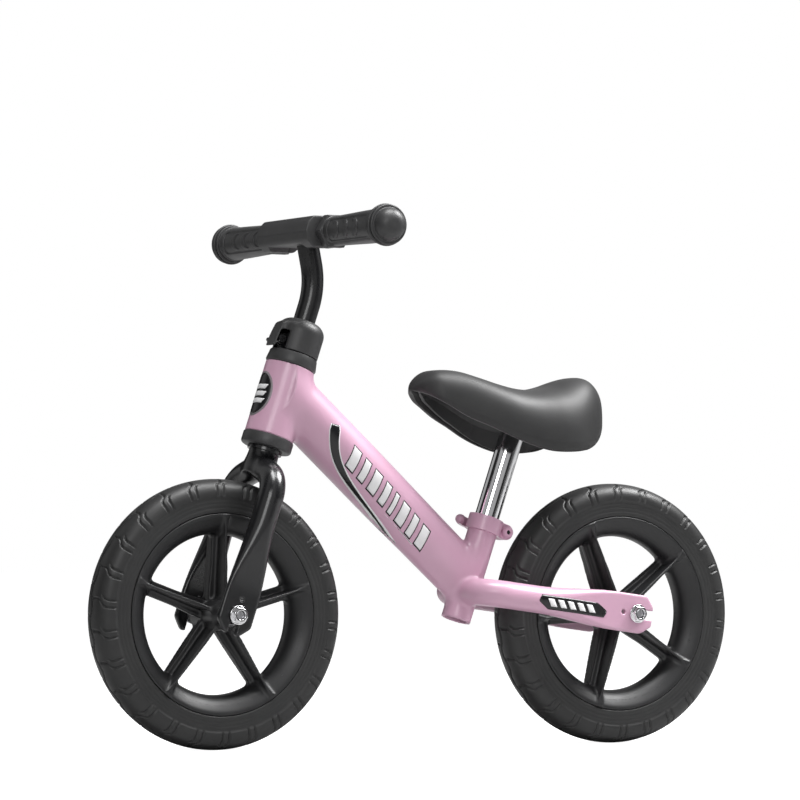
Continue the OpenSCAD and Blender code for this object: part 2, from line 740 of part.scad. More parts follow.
// Smooth value at t along a list of evenly spaced values
function spline_at(v, t) =
  let (n = len(v) - 1, i = min(floor(t * n), n - 1), f = t * n - i,
       a = v[max(i - 1, 0)], b = v[i], c = v[i + 1], d = v[min(i + 2, n)])
  b + 0.5 * f * (c - a + f * (2 * a - 5 * b + 4 * c - d + f * (3 * (b - c) + d - a)));

// Heights over the middle of the saddle, and half widths as shares of the whole, nose to tail
crest = [12, 19, 19, 13, 6, 1, 0, 4, 12, 18, 16];
skirt = [-6, -17, -31, -41, -52, -61, -67, -68, -66, -60, -52];
half_w = [0.4, 0.52, 0.63, 0.76, 0.87, 0.93, 0.97, 1.0, 1.0, 0.95, 0.85];
// Share of the length over which each end rounds off, in height and, at the tail, in width
nose_share = 0.1;
tail_share = 0.2;
tail_plan = 0.36;

// 1 along the saddle and falling to almost nothing round each end
function end_round(t, tail) =
  let (u = t < nose_share ? 1 - t / nose_share : t > 1 - tail ? 1 - (1 - t) / tail : 0)
  max(sqrt(1 - u * u), 0.14);

function saddle_ring(t, inset) =
  let (cap = end_round(t, tail_share), mid = t < 0.5 ? -2 : -17, square = 0.62 + 0.3 * max(t - 0.6, 0),
       w = spline_at(half_w, t) * saddle_w / 2 * end_round(t, tail_plan),
       top = mid + (spline_at(crest, t) - mid) * cap, low = mid + (spline_at(skirt, t) - mid) * cap,
       cut = min(inset, 0.55 * w), n = 14, wi = w - cut * 0.8,
       h = max(top - cut - low, 2), x = inset * 0.8 + t * (saddle_len - inset * 1.6))
  [for (i = [0 : n]) let (a = 180 * i / n, s = sin(a), c = cos(a))
    [-x, wi * (c < 0 ? -1 : 1) * pow(abs(c), square), low + h * pow(s, square)]];

module saddle_shell(outer, inner) {
  steps = 22;
  ring_n = 30;
  rings = [for (k = [0 : steps]) let (t = 0.5 - 0.5 * cos(180 * k / steps))
    concat(saddle_ring(t, outer), reverse(saddle_ring(t, inner)))];
  pts = [for (r = rings) each r];
  sides = [for (k = [0 : steps - 1]) for (i = [0 : ring_n - 1]) let (j = (i + 1) % ring_n)
    each [[k * ring_n + i, k * ring_n + j, (k + 1) * ring_n + j],
          [k * ring_n + i, (k + 1) * ring_n + j, (k + 1) * ring_n + i]]];
  caps = [for (i = [0 : 13]) each [
    [i + 1, i, 29 - i], [i + 1, 29 - i, 28 - i],
    [steps * ring_n + i, steps * ring_n + i + 1, steps * ring_n + 29 - i],
    [steps * ring_n + i + 1, steps * ring_n + 28 - i, steps * ring_n + 29 - i]]];
  translate([saddle_x, 0, saddle_z]) polyhedron(points = pts, faces = concat(sides, caps), convexity = 6);
}

function reverse(v) = [for (i = [len(v) - 1 : -1 : 0]) v[i]];

module saddle_cover() color(soft_black) saddle_shell(0, pad_t);

module saddle_base() color(black) {
  saddle_shell(pad_t + gap, pad_t + 3.5);
  plate_screws() cylinder(r = 6, h = saddle_z - pad_t - plate_z - plate_t);
}

// Four places on the plate under the saddle
module plate_screws()
  for (x = [-24, 24]) for (y = [-11, 11]) translate([post_x - 6 + x, y, plate_z + plate_t]) children();

module saddle_plate() color(steel) difference() {
  translate([post_x - 6 - 34, -19, plate_z]) cube([68, 38, plate_t]);
  plate_screws() translate([0, 0, -plate_t - over]) cylinder(r = 2.6, h = plate_t + 2 * over);
}

module saddle_screws() color(steel)
  plate_screws() translate([0, 0, -plate_t]) {
    translate([0, 0, -3]) cylinder(r = 4.5, h = 3);
    cylinder(r = 2.4, h = plate_t);
  }

module seat_post() color(chrome) difference() {
  on_seat(post_foot_s) ring(post_r, post_r - 1.8, post_top_s - post_foot_s);
  translate([post_x - 60, -60, plate_z]) cube([120, 120, 80]);
}

head_tube();
main_tube();
seat_tube();
chainstay_left();
chainstay_right();
upper_cup();
lower_cup();
upper_bearing();
lower_bearing();
seat_collar();
seat_skewer();
seat_thumb_nut();
lever_pin();
seat_lever();
rear_axle();
rear_axle_nuts();
rear_tab_washers();
rear_locknuts();
steerer_tube();
fork_leg_left();
fork_leg_right();
crown_race();
headset_spacer();
steering_clamp();
clamp_bolt();
clamp_nut();
clamp_cover();
front_axle();
front_axle_nuts();
front_tab_washers();
front_locknuts();
stem_tube();
handlebar_tube();
bar_cover_front();
bar_cover_rear();
bar_cover_screws();
grip_left();
grip_right();
front_tyre();
front_rim();
front_bearings();
front_hub_spacer();
rear_tyre();
rear_rim();
rear_bearings();
rear_hub_spacer();
saddle_cover();
saddle_base();
saddle_plate();
saddle_screws();
seat_post();
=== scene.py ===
import json
import math

import bmesh
import bpy
import numpy as np
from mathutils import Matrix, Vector
from mathutils.bvhtree import BVHTree


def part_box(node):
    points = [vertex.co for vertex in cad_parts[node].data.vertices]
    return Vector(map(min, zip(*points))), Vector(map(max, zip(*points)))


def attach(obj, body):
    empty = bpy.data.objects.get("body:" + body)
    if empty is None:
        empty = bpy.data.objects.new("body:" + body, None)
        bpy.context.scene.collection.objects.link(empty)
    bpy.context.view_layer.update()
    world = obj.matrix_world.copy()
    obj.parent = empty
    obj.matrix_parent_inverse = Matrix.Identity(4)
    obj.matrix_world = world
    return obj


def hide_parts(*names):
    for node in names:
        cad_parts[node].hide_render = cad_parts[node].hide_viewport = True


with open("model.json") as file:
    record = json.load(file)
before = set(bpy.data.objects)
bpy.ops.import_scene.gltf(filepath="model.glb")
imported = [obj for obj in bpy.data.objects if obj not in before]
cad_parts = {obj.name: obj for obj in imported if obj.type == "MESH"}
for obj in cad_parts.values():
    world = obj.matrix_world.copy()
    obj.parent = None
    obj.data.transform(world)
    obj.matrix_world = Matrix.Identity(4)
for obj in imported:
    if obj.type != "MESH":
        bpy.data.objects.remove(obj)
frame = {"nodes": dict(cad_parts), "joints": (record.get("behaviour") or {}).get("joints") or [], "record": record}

# Shapes are worked out in millimetres in the bike's own frame: +X forward, +Y the rider's left, +Z up.
MM = 0.001
COARSE = 1.0
SHARP = math.radians(38)
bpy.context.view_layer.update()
joints = {joint["name"]: joint for joint in frame["joints"]}


# ---------- places, read from the frame ----------

def joint_place(name):
    """A joint's point in millimetres, and how far its axis leans back from upright."""
    joint = joints[name]
    axis = joint["axis"]
    point = [value / MM for value in joint.get("pos_m", (0, 0, 0))]
    return point[0], point[2], math.atan2(-axis[0], axis[2])


def turned(place, x, z):
    """Coordinates forward of a leaning axis and along it."""
    px, pz, lean = place
    dx, dz = x - px, z - pz
    return dx * math.cos(lean) + dz * math.sin(lean), dz * math.cos(lean) - dx * math.sin(lean)


def unturned(place, a, c):
    """The way back: x and z of a point given forward of a leaning axis and along it."""
    px, pz, lean = place
    return px + a * math.cos(lean) - c * math.sin(lean), pz + a * math.sin(lean) + c * math.cos(lean)


def node_points(node):
    mesh = frame["nodes"][node].data
    points = np.zeros(len(mesh.vertices) * 3, np.float32)
    mesh.vertices.foreach_get("co", points)
    return points.reshape(-1, 3) / MM


def corners(node):
    """The least and greatest corner of a node's box."""
    low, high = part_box(node)
    return low / MM, high / MM


def along(node, place):
    """A node's least and greatest station on an axis, and its greatest distance from it."""
    x, y, z = node_points(node).T
    a, c = turned(place, x, z)
    return float(c.min()), float(c.max()), float(np.hypot(a, y).max())


STEER = joint_place("steering")
front_axle = joint_place("front_wheel_spin")[:2] + (0.0,)
rear_axle = joint_place("rear_wheel_spin")[:2] + (0.0,)
seat_lean = joint_place("seat_height")[2]
tube_low, tube_high = corners("seat_tube")
seat_r = (tube_high.y - tube_low.y) / 2
SEAT = (tube_high.x - seat_r * math.cos(seat_lean), tube_low.z + seat_r * math.sin(seat_lean), seat_lean)
bar_low, bar_high = corners("handlebar_tube")
BAR = ((bar_low.x + bar_high.x) / 2, (bar_low.z + bar_high.z) / 2, 0.0)
drop_out = corners("fork_leg_left")[1].y


# ---------- fields: a shape is where its field is below nothing ----------

def join(a, b, k):
    """Two shapes run together with a fillet of about k."""
    h = np.clip(0.5 + 0.5 * (b - a) / k, 0, 1)
    return b + (a - b) * h - k * h * (1 - h)


def common(a, b, k=0.8):
    """What two shapes share, with its edge eased by about k."""
    return -join(-a, -b, k)


def cut(a, b, k=0.8):
    """The first shape less the second."""
    return -join(-a, b, k)


def ease(x, low, high):
    t = np.clip((x - low) / (high - low), 0, 1)
    return t * t * (3 - 2 * t)


def rounded_box(u, v, half_u, half_v, r):
    qu, qv = np.abs(u) - half_u + r, np.abs(v) - half_v + r
    return np.hypot(np.maximum(qu, 0), np.maximum(qv, 0)) + np.minimum(np.maximum(qu, qv), 0) - r


def rod(a, y, c, r, low, high, k=1.0):
    return common(np.hypot(a, y) - r, np.abs(c - (low + high) / 2) - (high - low) / 2, k)


def ellipse(u, v, half_u, half_v):
    q = np.sqrt((u / half_u) ** 2 + (v / half_v) ** 2)
    return (q - 1) * q / (np.sqrt(u * u / half_u ** 4 + v * v / half_v ** 4) + 1e-6)


def hexagon(u, v, flat):
    return np.maximum(np.abs(u), np.abs(u) * 0.5 + np.abs(v) * math.sqrt(0.75)) - flat


def stroke(u, v, start, end):
    """Distance in a plane from a straight stroke."""
    du, dv = end[0] - start[0], end[1] - start[1]
    t = np.clip(((u - start[0]) * du + (v - start[1]) * dv) / (du * du + dv * dv), 0, 1)
    return np.hypot(u - start[0] - t * du, v - start[1] - t * dv)


# ---------- meshes ----------

def edge_crossings(inside, axis):
    """The pairs of neighbours on one axis that lie on either side of the surface."""
    low = np.take(inside, range(inside.shape[axis] - 1), axis)
    high = np.take(inside, range(1, inside.shape[axis]), axis)
    return np.argwhere(low != high)


def surface_net(field, low, high, step):
    """Points on a field's zero surface and the four-sided faces between them."""
    step = step * COARSE
    axes = [np.arange(a, b + step, step) for a, b in zip(low, high)]
    x, y, z = np.ix_(*axes)
    size = tuple(len(a) for a in axes)
    values = np.broadcast_to(field(x, y, z), size).astype(np.float32)
    inside = values < 0
    cells = tuple(n - 1 for n in size)
    total = np.zeros(cells, np.int8)
    corners = [(i, j, k) for i in (0, 1) for j in (0, 1) for k in (0, 1)]
    for i, j, k in corners:
        total += inside[i:i + cells[0], j:j + cells[1], k:k + cells[2]]
    mixed = (total > 0) & (total < 8)
    where = np.argwhere(mixed)
    index = np.full(cells, -1, np.int64)
    index[mixed] = np.arange(len(where))
    sums, counts = np.zeros((len(where), 3)), np.zeros(len(where))
    for a in corners:
        for axis in range(3):
            if a[axis]:
                continue
            b = tuple(v + (n == axis) for n, v in enumerate(a))
            va = values[tuple((where + a).T)]
            vb = values[tuple((where + b).T)]
            crossed = (va < 0) != (vb < 0)
            t = np.where(crossed, va / np.where(crossed, va - vb, 1), 0)
            point = where + np.array(a, float)
            point[:, axis] += t
            sums += point * crossed[:, None]
            counts += crossed
    points = np.array([a[0] for a in axes]) + sums / counts[:, None] * step
    faces = []
    for axis in range(3):
        u, v = (axis + 1) % 3, (axis + 2) % 3
        found = edge_crossings(inside, axis)
        found = found[(found[:, u] > 0) & (found[:, v] > 0)]
        found = found[(found[:, u] < cells[u]) & (found[:, v] < cells[v])]
        ring = []
        for du, dv in ((0, 0), (1, 0), (1, 1), (0, 1)):
            cell = found.copy()
            cell[:, u] -= 1 - du
            cell[:, v] -= 1 - dv
            ring.append(index[tuple(cell.T)])
        ring = np.stack(ring, 1)
        leaving = inside[tuple(found.T)]
        ring[~leaving] = ring[~leaving][:, ::-1]
        faces.append(ring)
    points = settle(field, points, step)
    return points, np.concatenate(faces)


def settle(field, points, step):
    """Moves points onto the surface, along the field's slope."""
    reach = 0.02
    start = points.copy()
    for _ in range(3):
        value = field(*points.T)
        slope = np.stack([
            (field(*(points + reach * side).T) - field(*(points - reach * side).T)) / (2 * reach)
            for side in np.eye(3)], 1)
        points = points - (value / np.maximum((slope ** 2).sum(1), 0.05))[:, None] * slope
        points = start + np.clip(points - start, -step, step)
    return points


def piece(name, points, faces, *materials, smooth=True):
    """A mesh object from points in millimetres, at the origin."""
    mesh = bpy.data.meshes.new(name)
    points = np.asarray(points, float)
    if isinstance(faces, np.ndarray):
        mesh.vertices.add(len(points))
        mesh.vertices.foreach_set("co", (points * MM).ravel())
        mesh.loops.add(faces.size)
        mesh.loops.foreach_set("vertex_index", faces.ravel().astype(np.int32))
        mesh.polygons.add(len(faces))
        mesh.polygons.foreach_set("loop_start", np.arange(0, faces.size, faces.shape[1], dtype=np.int32))
        mesh.update(calc_edges=True)
        mesh.validate()
    else:
        mesh.from_pydata([tuple(p) for p in points * MM], [], faces)
    mesh.polygons.foreach_set("use_smooth", [smooth] * len(mesh.polygons))
    for material in materials:
        mesh.materials.append(material)
    obj = bpy.data.objects.new(name, mesh)
    bpy.context.scene.collection.objects.link(obj)
    return obj


def carved(name, field, low, high, step, material):
    return piece(name, *surface_net(field, low, high, step), material)


def spun(points, turn, axle):
    """Points turned about the bike's width and moved out to an axle."""
    x = points[:, 0] * math.cos(turn) + points[:, 2] * math.sin(turn)
    z = points[:, 2] * math.cos(turn) - points[:, 0] * math.sin(turn)
    return np.stack([x + axle[0], points[:, 1], z + axle[1]], 1)


def wrap_grid(rows, columns, wrap_rows=False):
    """Faces of a grid of points whose columns close on themselves."""
    last = rows if wrap_rows else rows - 1
    i, j = np.meshgrid(np.arange(last), np.arange(columns), indexing="ij")
    i, j = i.ravel(), j.ravel()
    i2, j2 = (i + 1) % rows, (j + 1) % columns
    return np.stack([i * columns + j, i * columns + j2, i2 * columns + j2, i2 * columns + j], 1)


def outwards(obj):
    """Turns a closed mesh's faces outwards."""
    shape = bmesh.new()
    shape.from_mesh(obj.data)
    bmesh.ops.remove_doubles(shape, verts=shape.verts, dist=1e-7)
    bmesh.ops.recalc_face_normals(shape, faces=shape.faces)
    shape.to_mesh(obj.data)
    shape.free()
    return obj


def turned_piece(name, place, profile, material, sides):
    """A closed profile of (station, radius) turned about a leaning axis."""
    profile = np.array(profile, float)
    angles = np.linspace(0, 2 * math.pi, sides, endpoint=False)
    c = profile[:, None, 0] + 0 * angles
    u = profile[:, None, 1] * np.cos(angles)
    v = profile[:, None, 1] * np.sin(angles)
    x, z = unturned(place, u, c)
    points = np.stack([x.ravel(), v.ravel(), z.ravel()], 1)
    faces = wrap_grid(len(profile), sides, wrap_rows=True)
    obj = outwards(piece(name, points, faces, material))
    obj.data.set_sharp_from_angle(angle=SHARP)
    return obj


def mirrored(obj, name):
    """The same piece on the other side of the bike."""
    mesh = obj.data.copy()
    mesh.name = name
    points = np.zeros(len(mesh.vertices) * 3, np.float32)
    mesh.vertices.foreach_get("co", points)
    points = points.reshape(-1, 3)
    points[:, 1] *= -1
    mesh.vertices.foreach_set("co", points.ravel())
    mesh.flip_normals()
    other = bpy.data.objects.new(name, mesh)
    bpy.context.scene.collection.objects.link(other)
    return other


def fit(obj, body, slot, *nodes):
    """Gives a piece its body and hides the CAD nodes that it stands for; the slot is not used."""
    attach(obj, body)
    if nodes:
        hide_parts(*nodes)
    return obj


# ---------- nodes, shader groups and materials ----------

def fill(tree, node, inputs):
    """Sets a node's inputs: each takes a value or another node's output."""
    for name, value in dict(inputs).items():
        if isinstance(value, bpy.types.NodeSocket):
            tree.links.new(value, node.inputs[name])
        else:
            node.inputs[name].default_value = value


def add(tree, kind, inputs=(), **settings):
    """A new node with its settings and inputs."""
    node = tree.nodes.new(kind)
    for name, value in settings.items():
        setattr(node, name, value)
    fill(tree, node, inputs)
    return node


def maths(tree, operation, *values):
    """The result of one maths node."""
    return add(tree, "ShaderNodeMath", enumerate(values), operation=operation).outputs[0]


def fade(tree, value, low, high, start=0.0, end=1.0):
    """A smooth step from start to end as value goes from low to high."""
    span = {"Value": value, "From Min": low, "From Max": high, "To Min": start, "To Max": end}
    return add(tree, "ShaderNodeMapRange", span, interpolation_type="SMOOTHSTEP").outputs[0]


def group(name, kind, inputs, result):
    """A node group, its inputs by name, and its last node."""
    tree = bpy.data.node_groups.new(name, kind)
    for way, (label, sort) in [("INPUT", row) for row in inputs] + [("OUTPUT", result)]:
        tree.interface.new_socket(name=label, in_out=way, socket_type="NodeSocket" + sort)
    return tree, tree.nodes.new("NodeGroupInput").outputs, tree.nodes.new("NodeGroupOutput")


def grain_group():
    """Fine moulded or skin grain: a height that mixes cells with soft noise."""
    inputs = [("Vector", "Vector"), ("Scale", "Float"), ("Cells", "Float")]
    tree, given, out = group("moulded_grain", "ShaderNodeTree", inputs, ("Height", "Float"))
    where = {"Vector": given["Vector"], "Scale": given["Scale"]}
    cells = add(tree, "ShaderNodeTexVoronoi", where, feature="SMOOTH_F1")
    noise = add(tree, "ShaderNodeTexNoise", {**where, "Detail": 3.0})
    blend = add(tree, "ShaderNodeMix", {"Factor": given["Cells"], "A": noise.outputs["Fac"],
                                        "B": cells.outputs["Distance"]})
    fill(tree, out, {"Height": blend.outputs["Result"]})
    return tree


def handling_group():
    """Soft uneven patches, as handling and dust leave on a surface."""
    inputs = [("Vector", "Vector"), ("Size", "Float"), ("Low", "Float"), ("High", "Float")]
    tree, given, out = group("handling_patches", "ShaderNodeTree", inputs, ("Value", "Float"))
    noise = add(tree, "ShaderNodeTexNoise", {"Vector": given["Vector"], "Scale": given["Size"],
                                             "Detail": 6.0, "Roughness": 0.62})
    spread = add(tree, "ShaderNodeMapRange", {
        "Value": noise.outputs["Fac"], "From Min": 0.3, "From Max": 0.7,
        "To Min": given["Low"], "To Max": given["High"]})
    fill(tree, out, {"Value": spread.outputs["Result"]})
    return tree


GRAIN, HANDLING = grain_group(), handling_group()
PATCH_SIZE, DRIFT_SIZE = 14.0, 14.0 * 2.3


def finish(name, colour, tint, rough, grain, cells, bump, metal=0.0, coat=0.0, specular=0.5):
    """A material: colour drifts to tint in patches, roughness drifts over rough, grain stands up by bump."""
    material = bpy.data.materials.new(name)
    material.use_nodes = True
    tree = material.node_tree
    place = add(tree, "ShaderNodeTexCoord").outputs["Object"]
    patches, drift = (
        add(tree, "ShaderNodeGroup", {"Vector": place, "Size": size, "Low": low, "High": high},
            node_tree=HANDLING)
        for size, (low, high) in ((PATCH_SIZE, rough), (DRIFT_SIZE, (0.0, 1.0))))
    mix = add(tree, "ShaderNodeMix", {"Factor": drift.outputs["Value"], 6: (*colour, 1), 7: (*tint, 1)},
              data_type="RGBA")
    height = add(tree, "ShaderNodeGroup", {"Vector": place, "Scale": grain, "Cells": cells}, node_tree=GRAIN)
    relief = add(tree, "ShaderNodeBump", {"Strength": 1.0, "Distance": bump * MM,
                                          "Height": height.outputs["Height"]})
    fill(tree, tree.nodes["Principled BSDF"], {
        "Metallic": metal, "Coat Weight": coat, "Coat Roughness": 0.12, "Specular IOR Level": specular,
        "Roughness": patches.outputs["Value"], "Base Color": mix.outputs[2],
        "Normal": relief.outputs["Normal"]})
    return material


pink_paint = finish("pink_powder_coat", (0.585, 0.345, 0.465), (0.60, 0.36, 0.48),
                    (0.30, 0.38), 420, 0.1, 0.03, coat=0.25)
black_paint = finish("black_enamel", (0.007, 0.007, 0.008), (0.010, 0.010, 0.011),
                     (0.24, 0.34), 500, 0.1, 0.02, coat=0.3)
cover_plastic = finish("cover_plastic", (0.034, 0.034, 0.035), (0.040, 0.040, 0.041),
                       (0.40, 0.50), 1500, 0.5, 0.03)
rim_plastic = finish("rim_plastic", (0.011, 0.011, 0.012), (0.015, 0.015, 0.016),
                     (0.36, 0.48), 1300, 0.5, 0.03)
tyre_foam = finish("foam_tyre_skin", (0.015, 0.015, 0.0155), (0.021, 0.021, 0.021),
                   (0.40, 0.54), 1700, 0.7, 0.05)
grip_rubber = finish("grip_rubber", (0.032, 0.032, 0.033), (0.040, 0.040, 0.041),
                     (0.34, 0.46), 1600, 0.6, 0.04)
saddle_skin = finish("saddle_skin", (0.018, 0.018, 0.0185), (0.023, 0.023, 0.0235),
                     (0.46, 0.56), 1100, 0.8, 0.05)
# Painted shade: a near-black, less shiny copy of the saddle skin for the inside of the pad's arch.
saddle_lining = finish("saddle_lining", (0.004, 0.004, 0.004), (0.006, 0.006, 0.006),
                       (0.6, 0.7), 900, 0.3, 0.03, specular=0.25)
chrome = finish("polished_chrome", (0.80, 0.80, 0.81), (0.76, 0.76, 0.78),
                (0.04, 0.09), 300, 0.0, 0.004, metal=1.0)
zinc = finish("zinc_plate", (0.52, 0.52, 0.54), (0.46, 0.46, 0.48), (0.26, 0.38), 900, 0.3, 0.02, metal=1.0)
PRINT = (300, 0.0, 0.005)
decal_black = finish("decal_black", (0.008, 0.008, 0.009), (0.010, 0.010, 0.011), (0.22, 0.30), *PRINT)
decal_white = finish("decal_white", (0.82, 0.82, 0.83), (0.80, 0.79, 0.80), (0.26, 0.34), *PRINT)
decal_grey = finish("decal_grey", (0.20, 0.18, 0.19), (0.24, 0.21, 0.23), (0.26, 0.34), *PRINT)

SLOT_MATERIALS = {
    "pink_paint": pink_paint, "black_paint": black_paint, "black_plastic": cover_plastic,
    "rim_plastic": rim_plastic, "tyre_foam": tyre_foam, "grip_rubber": grip_rubber,
    "saddle_skin": saddle_skin, "chrome": chrome, "steel": zinc,
}
for part in frame["record"]["subparts"]:
    slots = frame["nodes"][part["node"]].data.materials
    slots.clear()
    slots.append(SLOT_MATERIALS[part["material_slot"]])


# ---------- painted frame ----------

head_low, head_high, head_r = along("head_tube", STEER)
tube_foot_c, tube_top_c, _ = along("seat_tube", SEAT)
stay_points = node_points("chainstay_left")
MAIN_R = 30.0
SEAT_BORE = seat_r - 2.8
MAIN_HEAD_UP, MAIN_FOOT_UP = 52.0, 44.0
main_top = unturned(STEER, 0, head_low + MAIN_HEAD_UP)
main_foot = unturned(SEAT, 0, MAIN_FOOT_UP)
main_lean = math.atan2(main_foot[0] - main_top[0], main_top[1] - main_foot[1])
MAIN = (main_foot[0], main_foot[1], main_lean)
main_length = math.hypot(main_top[0] - main_foot[0], main_top[1] - main_foot[1])
STAY_UP, STAY_R, STAY_BEND = 33.0, 15.0, 26.0
stay_root = unturned(SEAT, 0, STAY_UP)
stay_slope = math.atan2(stay_root[1] - rear_axle[1], stay_root[0] - rear_axle[0])
stay_length = math.hypot(stay_root[1] - rear_axle[1], stay_root[0] - rear_axle[0])
STAY = (stay_root[0], stay_root[1], stay_slope)
BLADE_T, BLADE_EDGE_R = 7.0, 2.6
SLOT_R, EYE_R, EYE_UP = 5.3, 2.6, 17
blade_mid = drop_out - BLADE_T / 2
stay_y = blade_mid - 1.5
blade_half = 21.5


def flattened(off, side, r, start_y, half, flat, spread):
    """Section of a round tube that turns into an upright blade as flat and spread go to 1."""
    half_y = r + (BLADE_T / 2 - r) * flat
    middle = start_y + (blade_mid - start_y) * flat
    return rounded_box(side - middle, off, half_y, r + (half - r) * spread, r + (BLADE_EDGE_R - r) * flat)


def slotted(body, up, off, side):
    """A flattened end with its open axle slot, and the small eye that far above the axle."""
    slot = np.where(up > 0, np.hypot(up, off), np.abs(off)) - SLOT_R
    eye = np.hypot(up - EYE_UP, off) - EYE_R
    inner = -(side - blade_mid + 12)
    return cut(cut(body, np.maximum(slot, inner), 0.5), np.maximum(eye, inner), 0.5)


def main_tube(x, y, z):
    """The big oval tube, narrower where it meets the seat tube."""
    a, c = turned(MAIN, x, z)
    narrow = (seat_r - 0.8) / MAIN_R
    width = MAIN_R * (narrow + (1 - narrow) * ease(c, -10, main_length * 0.62))
    return ellipse(a, y, MAIN_R, width)


def stay_tube(x, y, z):
    """Out of the seat tube's side, round a bend and back to a flattened end."""
    a, c = turned(STAY, x, z)
    side = np.abs(y)
    start_y = stay_y - STAY_BEND
    root = np.hypot(stroke(a, side, (0, 0), (0, start_y)), c) - STAY_R
    ring = np.hypot(np.hypot(a + STAY_BEND, side - start_y) - STAY_BEND, c) - STAY_R
    bend = np.where((a > -STAY_BEND) & (side > start_y), ring, root)
    back = -a
    straight = flattened(c, side, STAY_R, stay_y, blade_half, ease(back, 50, stay_length - 14),
                         ease(back, 62, stay_length - 26))
    body = np.where(back > STAY_BEND, straight, bend)
    tail = back - stay_length - 21
    lower = ((back - stay_length - 8) * 9 + (-c - blade_half) * 13) / math.hypot(9, 13)
    upper = ((back - stay_length - 12) * 11 + (c - blade_half + 1) * 9) / math.hypot(11, 9)
    body = common(common(common(body, tail, 2), lower, 2), upper, 2)
    return slotted(body, stay_length - back, c, side)


def frame_field(x, y, z):
    """Head tube, main tube, seat tube and both chainstays, run together as welded and painted."""
    sa, sc = turned(STEER, x, z)
    ta, tc = turned(SEAT, x, z)
    head = np.hypot(sa, y) - head_r
    down = common(common(main_tube(x, y, z), sa, 1), -ta, 1)
    upright = rod(ta, y, tc, seat_r, tube_foot_c, tube_top_c - 0.3, 0.8)
    ends = np.abs(sc - (head_low + head_high) / 2) - (head_high - head_low) / 2
    shape = join(common(head, ends, 0.6), down, 9)
    shape = np.where(sa > -head_r - 10, np.maximum(shape, ends), shape)
    shape = join(shape, upright, 9)
    shape = join(shape, stay_tube(x, y, z), 5)
    bore = rod(ta, y, tc, SEAT_BORE, tube_foot_c - 5, tube_top_c + 5, 0.5)
    return cut(shape, bore, 0.6)


stay_low = stay_points.min(0)
stay_out = stay_y + STAY_R + 3
head_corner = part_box("head_tube")[1]
frame_low = (stay_low[0] - 3, -stay_out, min(tube_low.z, stay_low[2]) - 3)
frame_high = (head_corner.x / MM + 3, stay_out, head_corner.z / MM + 3)
frame_body = carved("frame_weldment", frame_field, frame_low, frame_high, 1.35, pink_paint)
fit(frame_body, "frame", "pink_paint",
    "head_tube", "main_tube", "seat_tube", "chainstay_left", "chainstay_right")


# ---------- fork ----------

FORK_R, ARCH_S, SHOULDER_R = 14.0, 169.0, 30.0
SPREAD = math.radians(70)
leg_y = blade_mid - 3.5
arm_y = leg_y - SHOULDER_R * (1 - math.cos(SPREAD))
arm_length = arm_y / math.sin(SPREAD)
shoulder_s = ARCH_S - arm_length * math.cos(SPREAD) - SHOULDER_R * math.sin(SPREAD)
fork_half = blade_half - 1


def fork_field(x, y, z):
    """Two legs that spread from under the steering tube and flatten towards the axle."""
    a, c = turned(STEER, x, z)
    side = np.abs(y)
    arm_end = (arm_y, ARCH_S - arm_length * math.cos(SPREAD))
    arm = np.hypot(stroke(side, c, (0, ARCH_S), arm_end), a) - FORK_R
    inner_y = leg_y - SHOULDER_R
    shoulder = np.hypot(np.hypot(side - inner_y, c - shoulder_s) - SHOULDER_R, a) - FORK_R
    in_turn = np.arctan2(c - shoulder_s, side - inner_y) < SPREAD
    leg = flattened(a, side, FORK_R, leg_y, fork_half, ease(c, 112, 22), ease(c, 108, 14))
    legs = np.where(c < shoulder_s, leg, np.where(in_turn, shoulder, arm))
    toe = -c - 21
    chamfer = ((np.abs(a) - fork_half) * 12 - (c + 9) * 11) / math.hypot(12, 11)
    legs = slotted(common(common(legs, toe, 2), chamfer, 2), c, a, side)
    neck = rod(a, y, c, 16.5, 158, 187, 1)
    return join(legs, neck, 7)


leg_low, leg_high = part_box("fork_leg_left")
fork_top = unturned(STEER, 0, 190)
leg_out = leg_y + FORK_R + 3
fork_body = carved("fork", fork_field, (fork_top[0] - 22, -leg_out, leg_low.z / MM - 4),
                   (leg_high.x / MM + 4, leg_out, fork_top[1] + 8), 1.45, black_paint)
fit(fork_body, "fork", "black_paint", "fork_leg_left", "fork_leg_right")


# ---------- head rings and the steering clamp's cover ----------

RING_BORE_R = 16.8


def cup(name, node, top_inset):
    """A plastic ring with eased edges that sits between a tube and what turns on it."""
    points = node_points(node)
    a, c = turned(STEER, points[:, 0], points[:, 2])
    radius = np.hypot(a, points[:, 1])
    r = float(radius.max())
    outer = c[radius > head_r - 2]
    low, high = float(outer.min()), float(outer.max())
    profile = [(low, RING_BORE_R), (low, r - 2.6), (low + 0.5, r - 1.4), (low + 1.6, r - 0.4),
               (low + 2.8, r), (high - 1.2, r - top_inset), (high - 0.4, r - top_inset - 0.3),
               (high, r - top_inset - 1), (high, RING_BORE_R)]
    fit(turned_piece(name, STEER, profile, cover_plastic, 128), "frame", "black_plastic", node)


cup("lower_head_ring", "lower_cup", 0.0)
cup("upper_head_ring", "upper_cup", 1.6)

cover_low, cover_high, _ = along("clamp_cover", STEER)
COVER_R, COVER_WALL, HOOD_FRONT = head_r - 1, 2.2, 31.6
STEM_R = 12.0


def dome(rho, h, r, top, turn):
    """A round post of radius r whose top edge is rounded by turn."""
    q_r, q_h = rho - r + turn, h - top + turn
    return np.hypot(np.maximum(q_r, 0), np.maximum(q_h, 0)) + np.minimum(np.maximum(q_r, q_h), 0) - turn


def hood(a, h, inset):
    """Section of the hood: a bulge in front of the dome that dies into its top."""
    front = a - HOOD_FRONT + inset
    slope = (front * 15 + (h - 14 + inset) * 4) / math.hypot(15, 4)
    top = h - 29.5 + inset
    return common(common(front, slope, 4), top, 4)


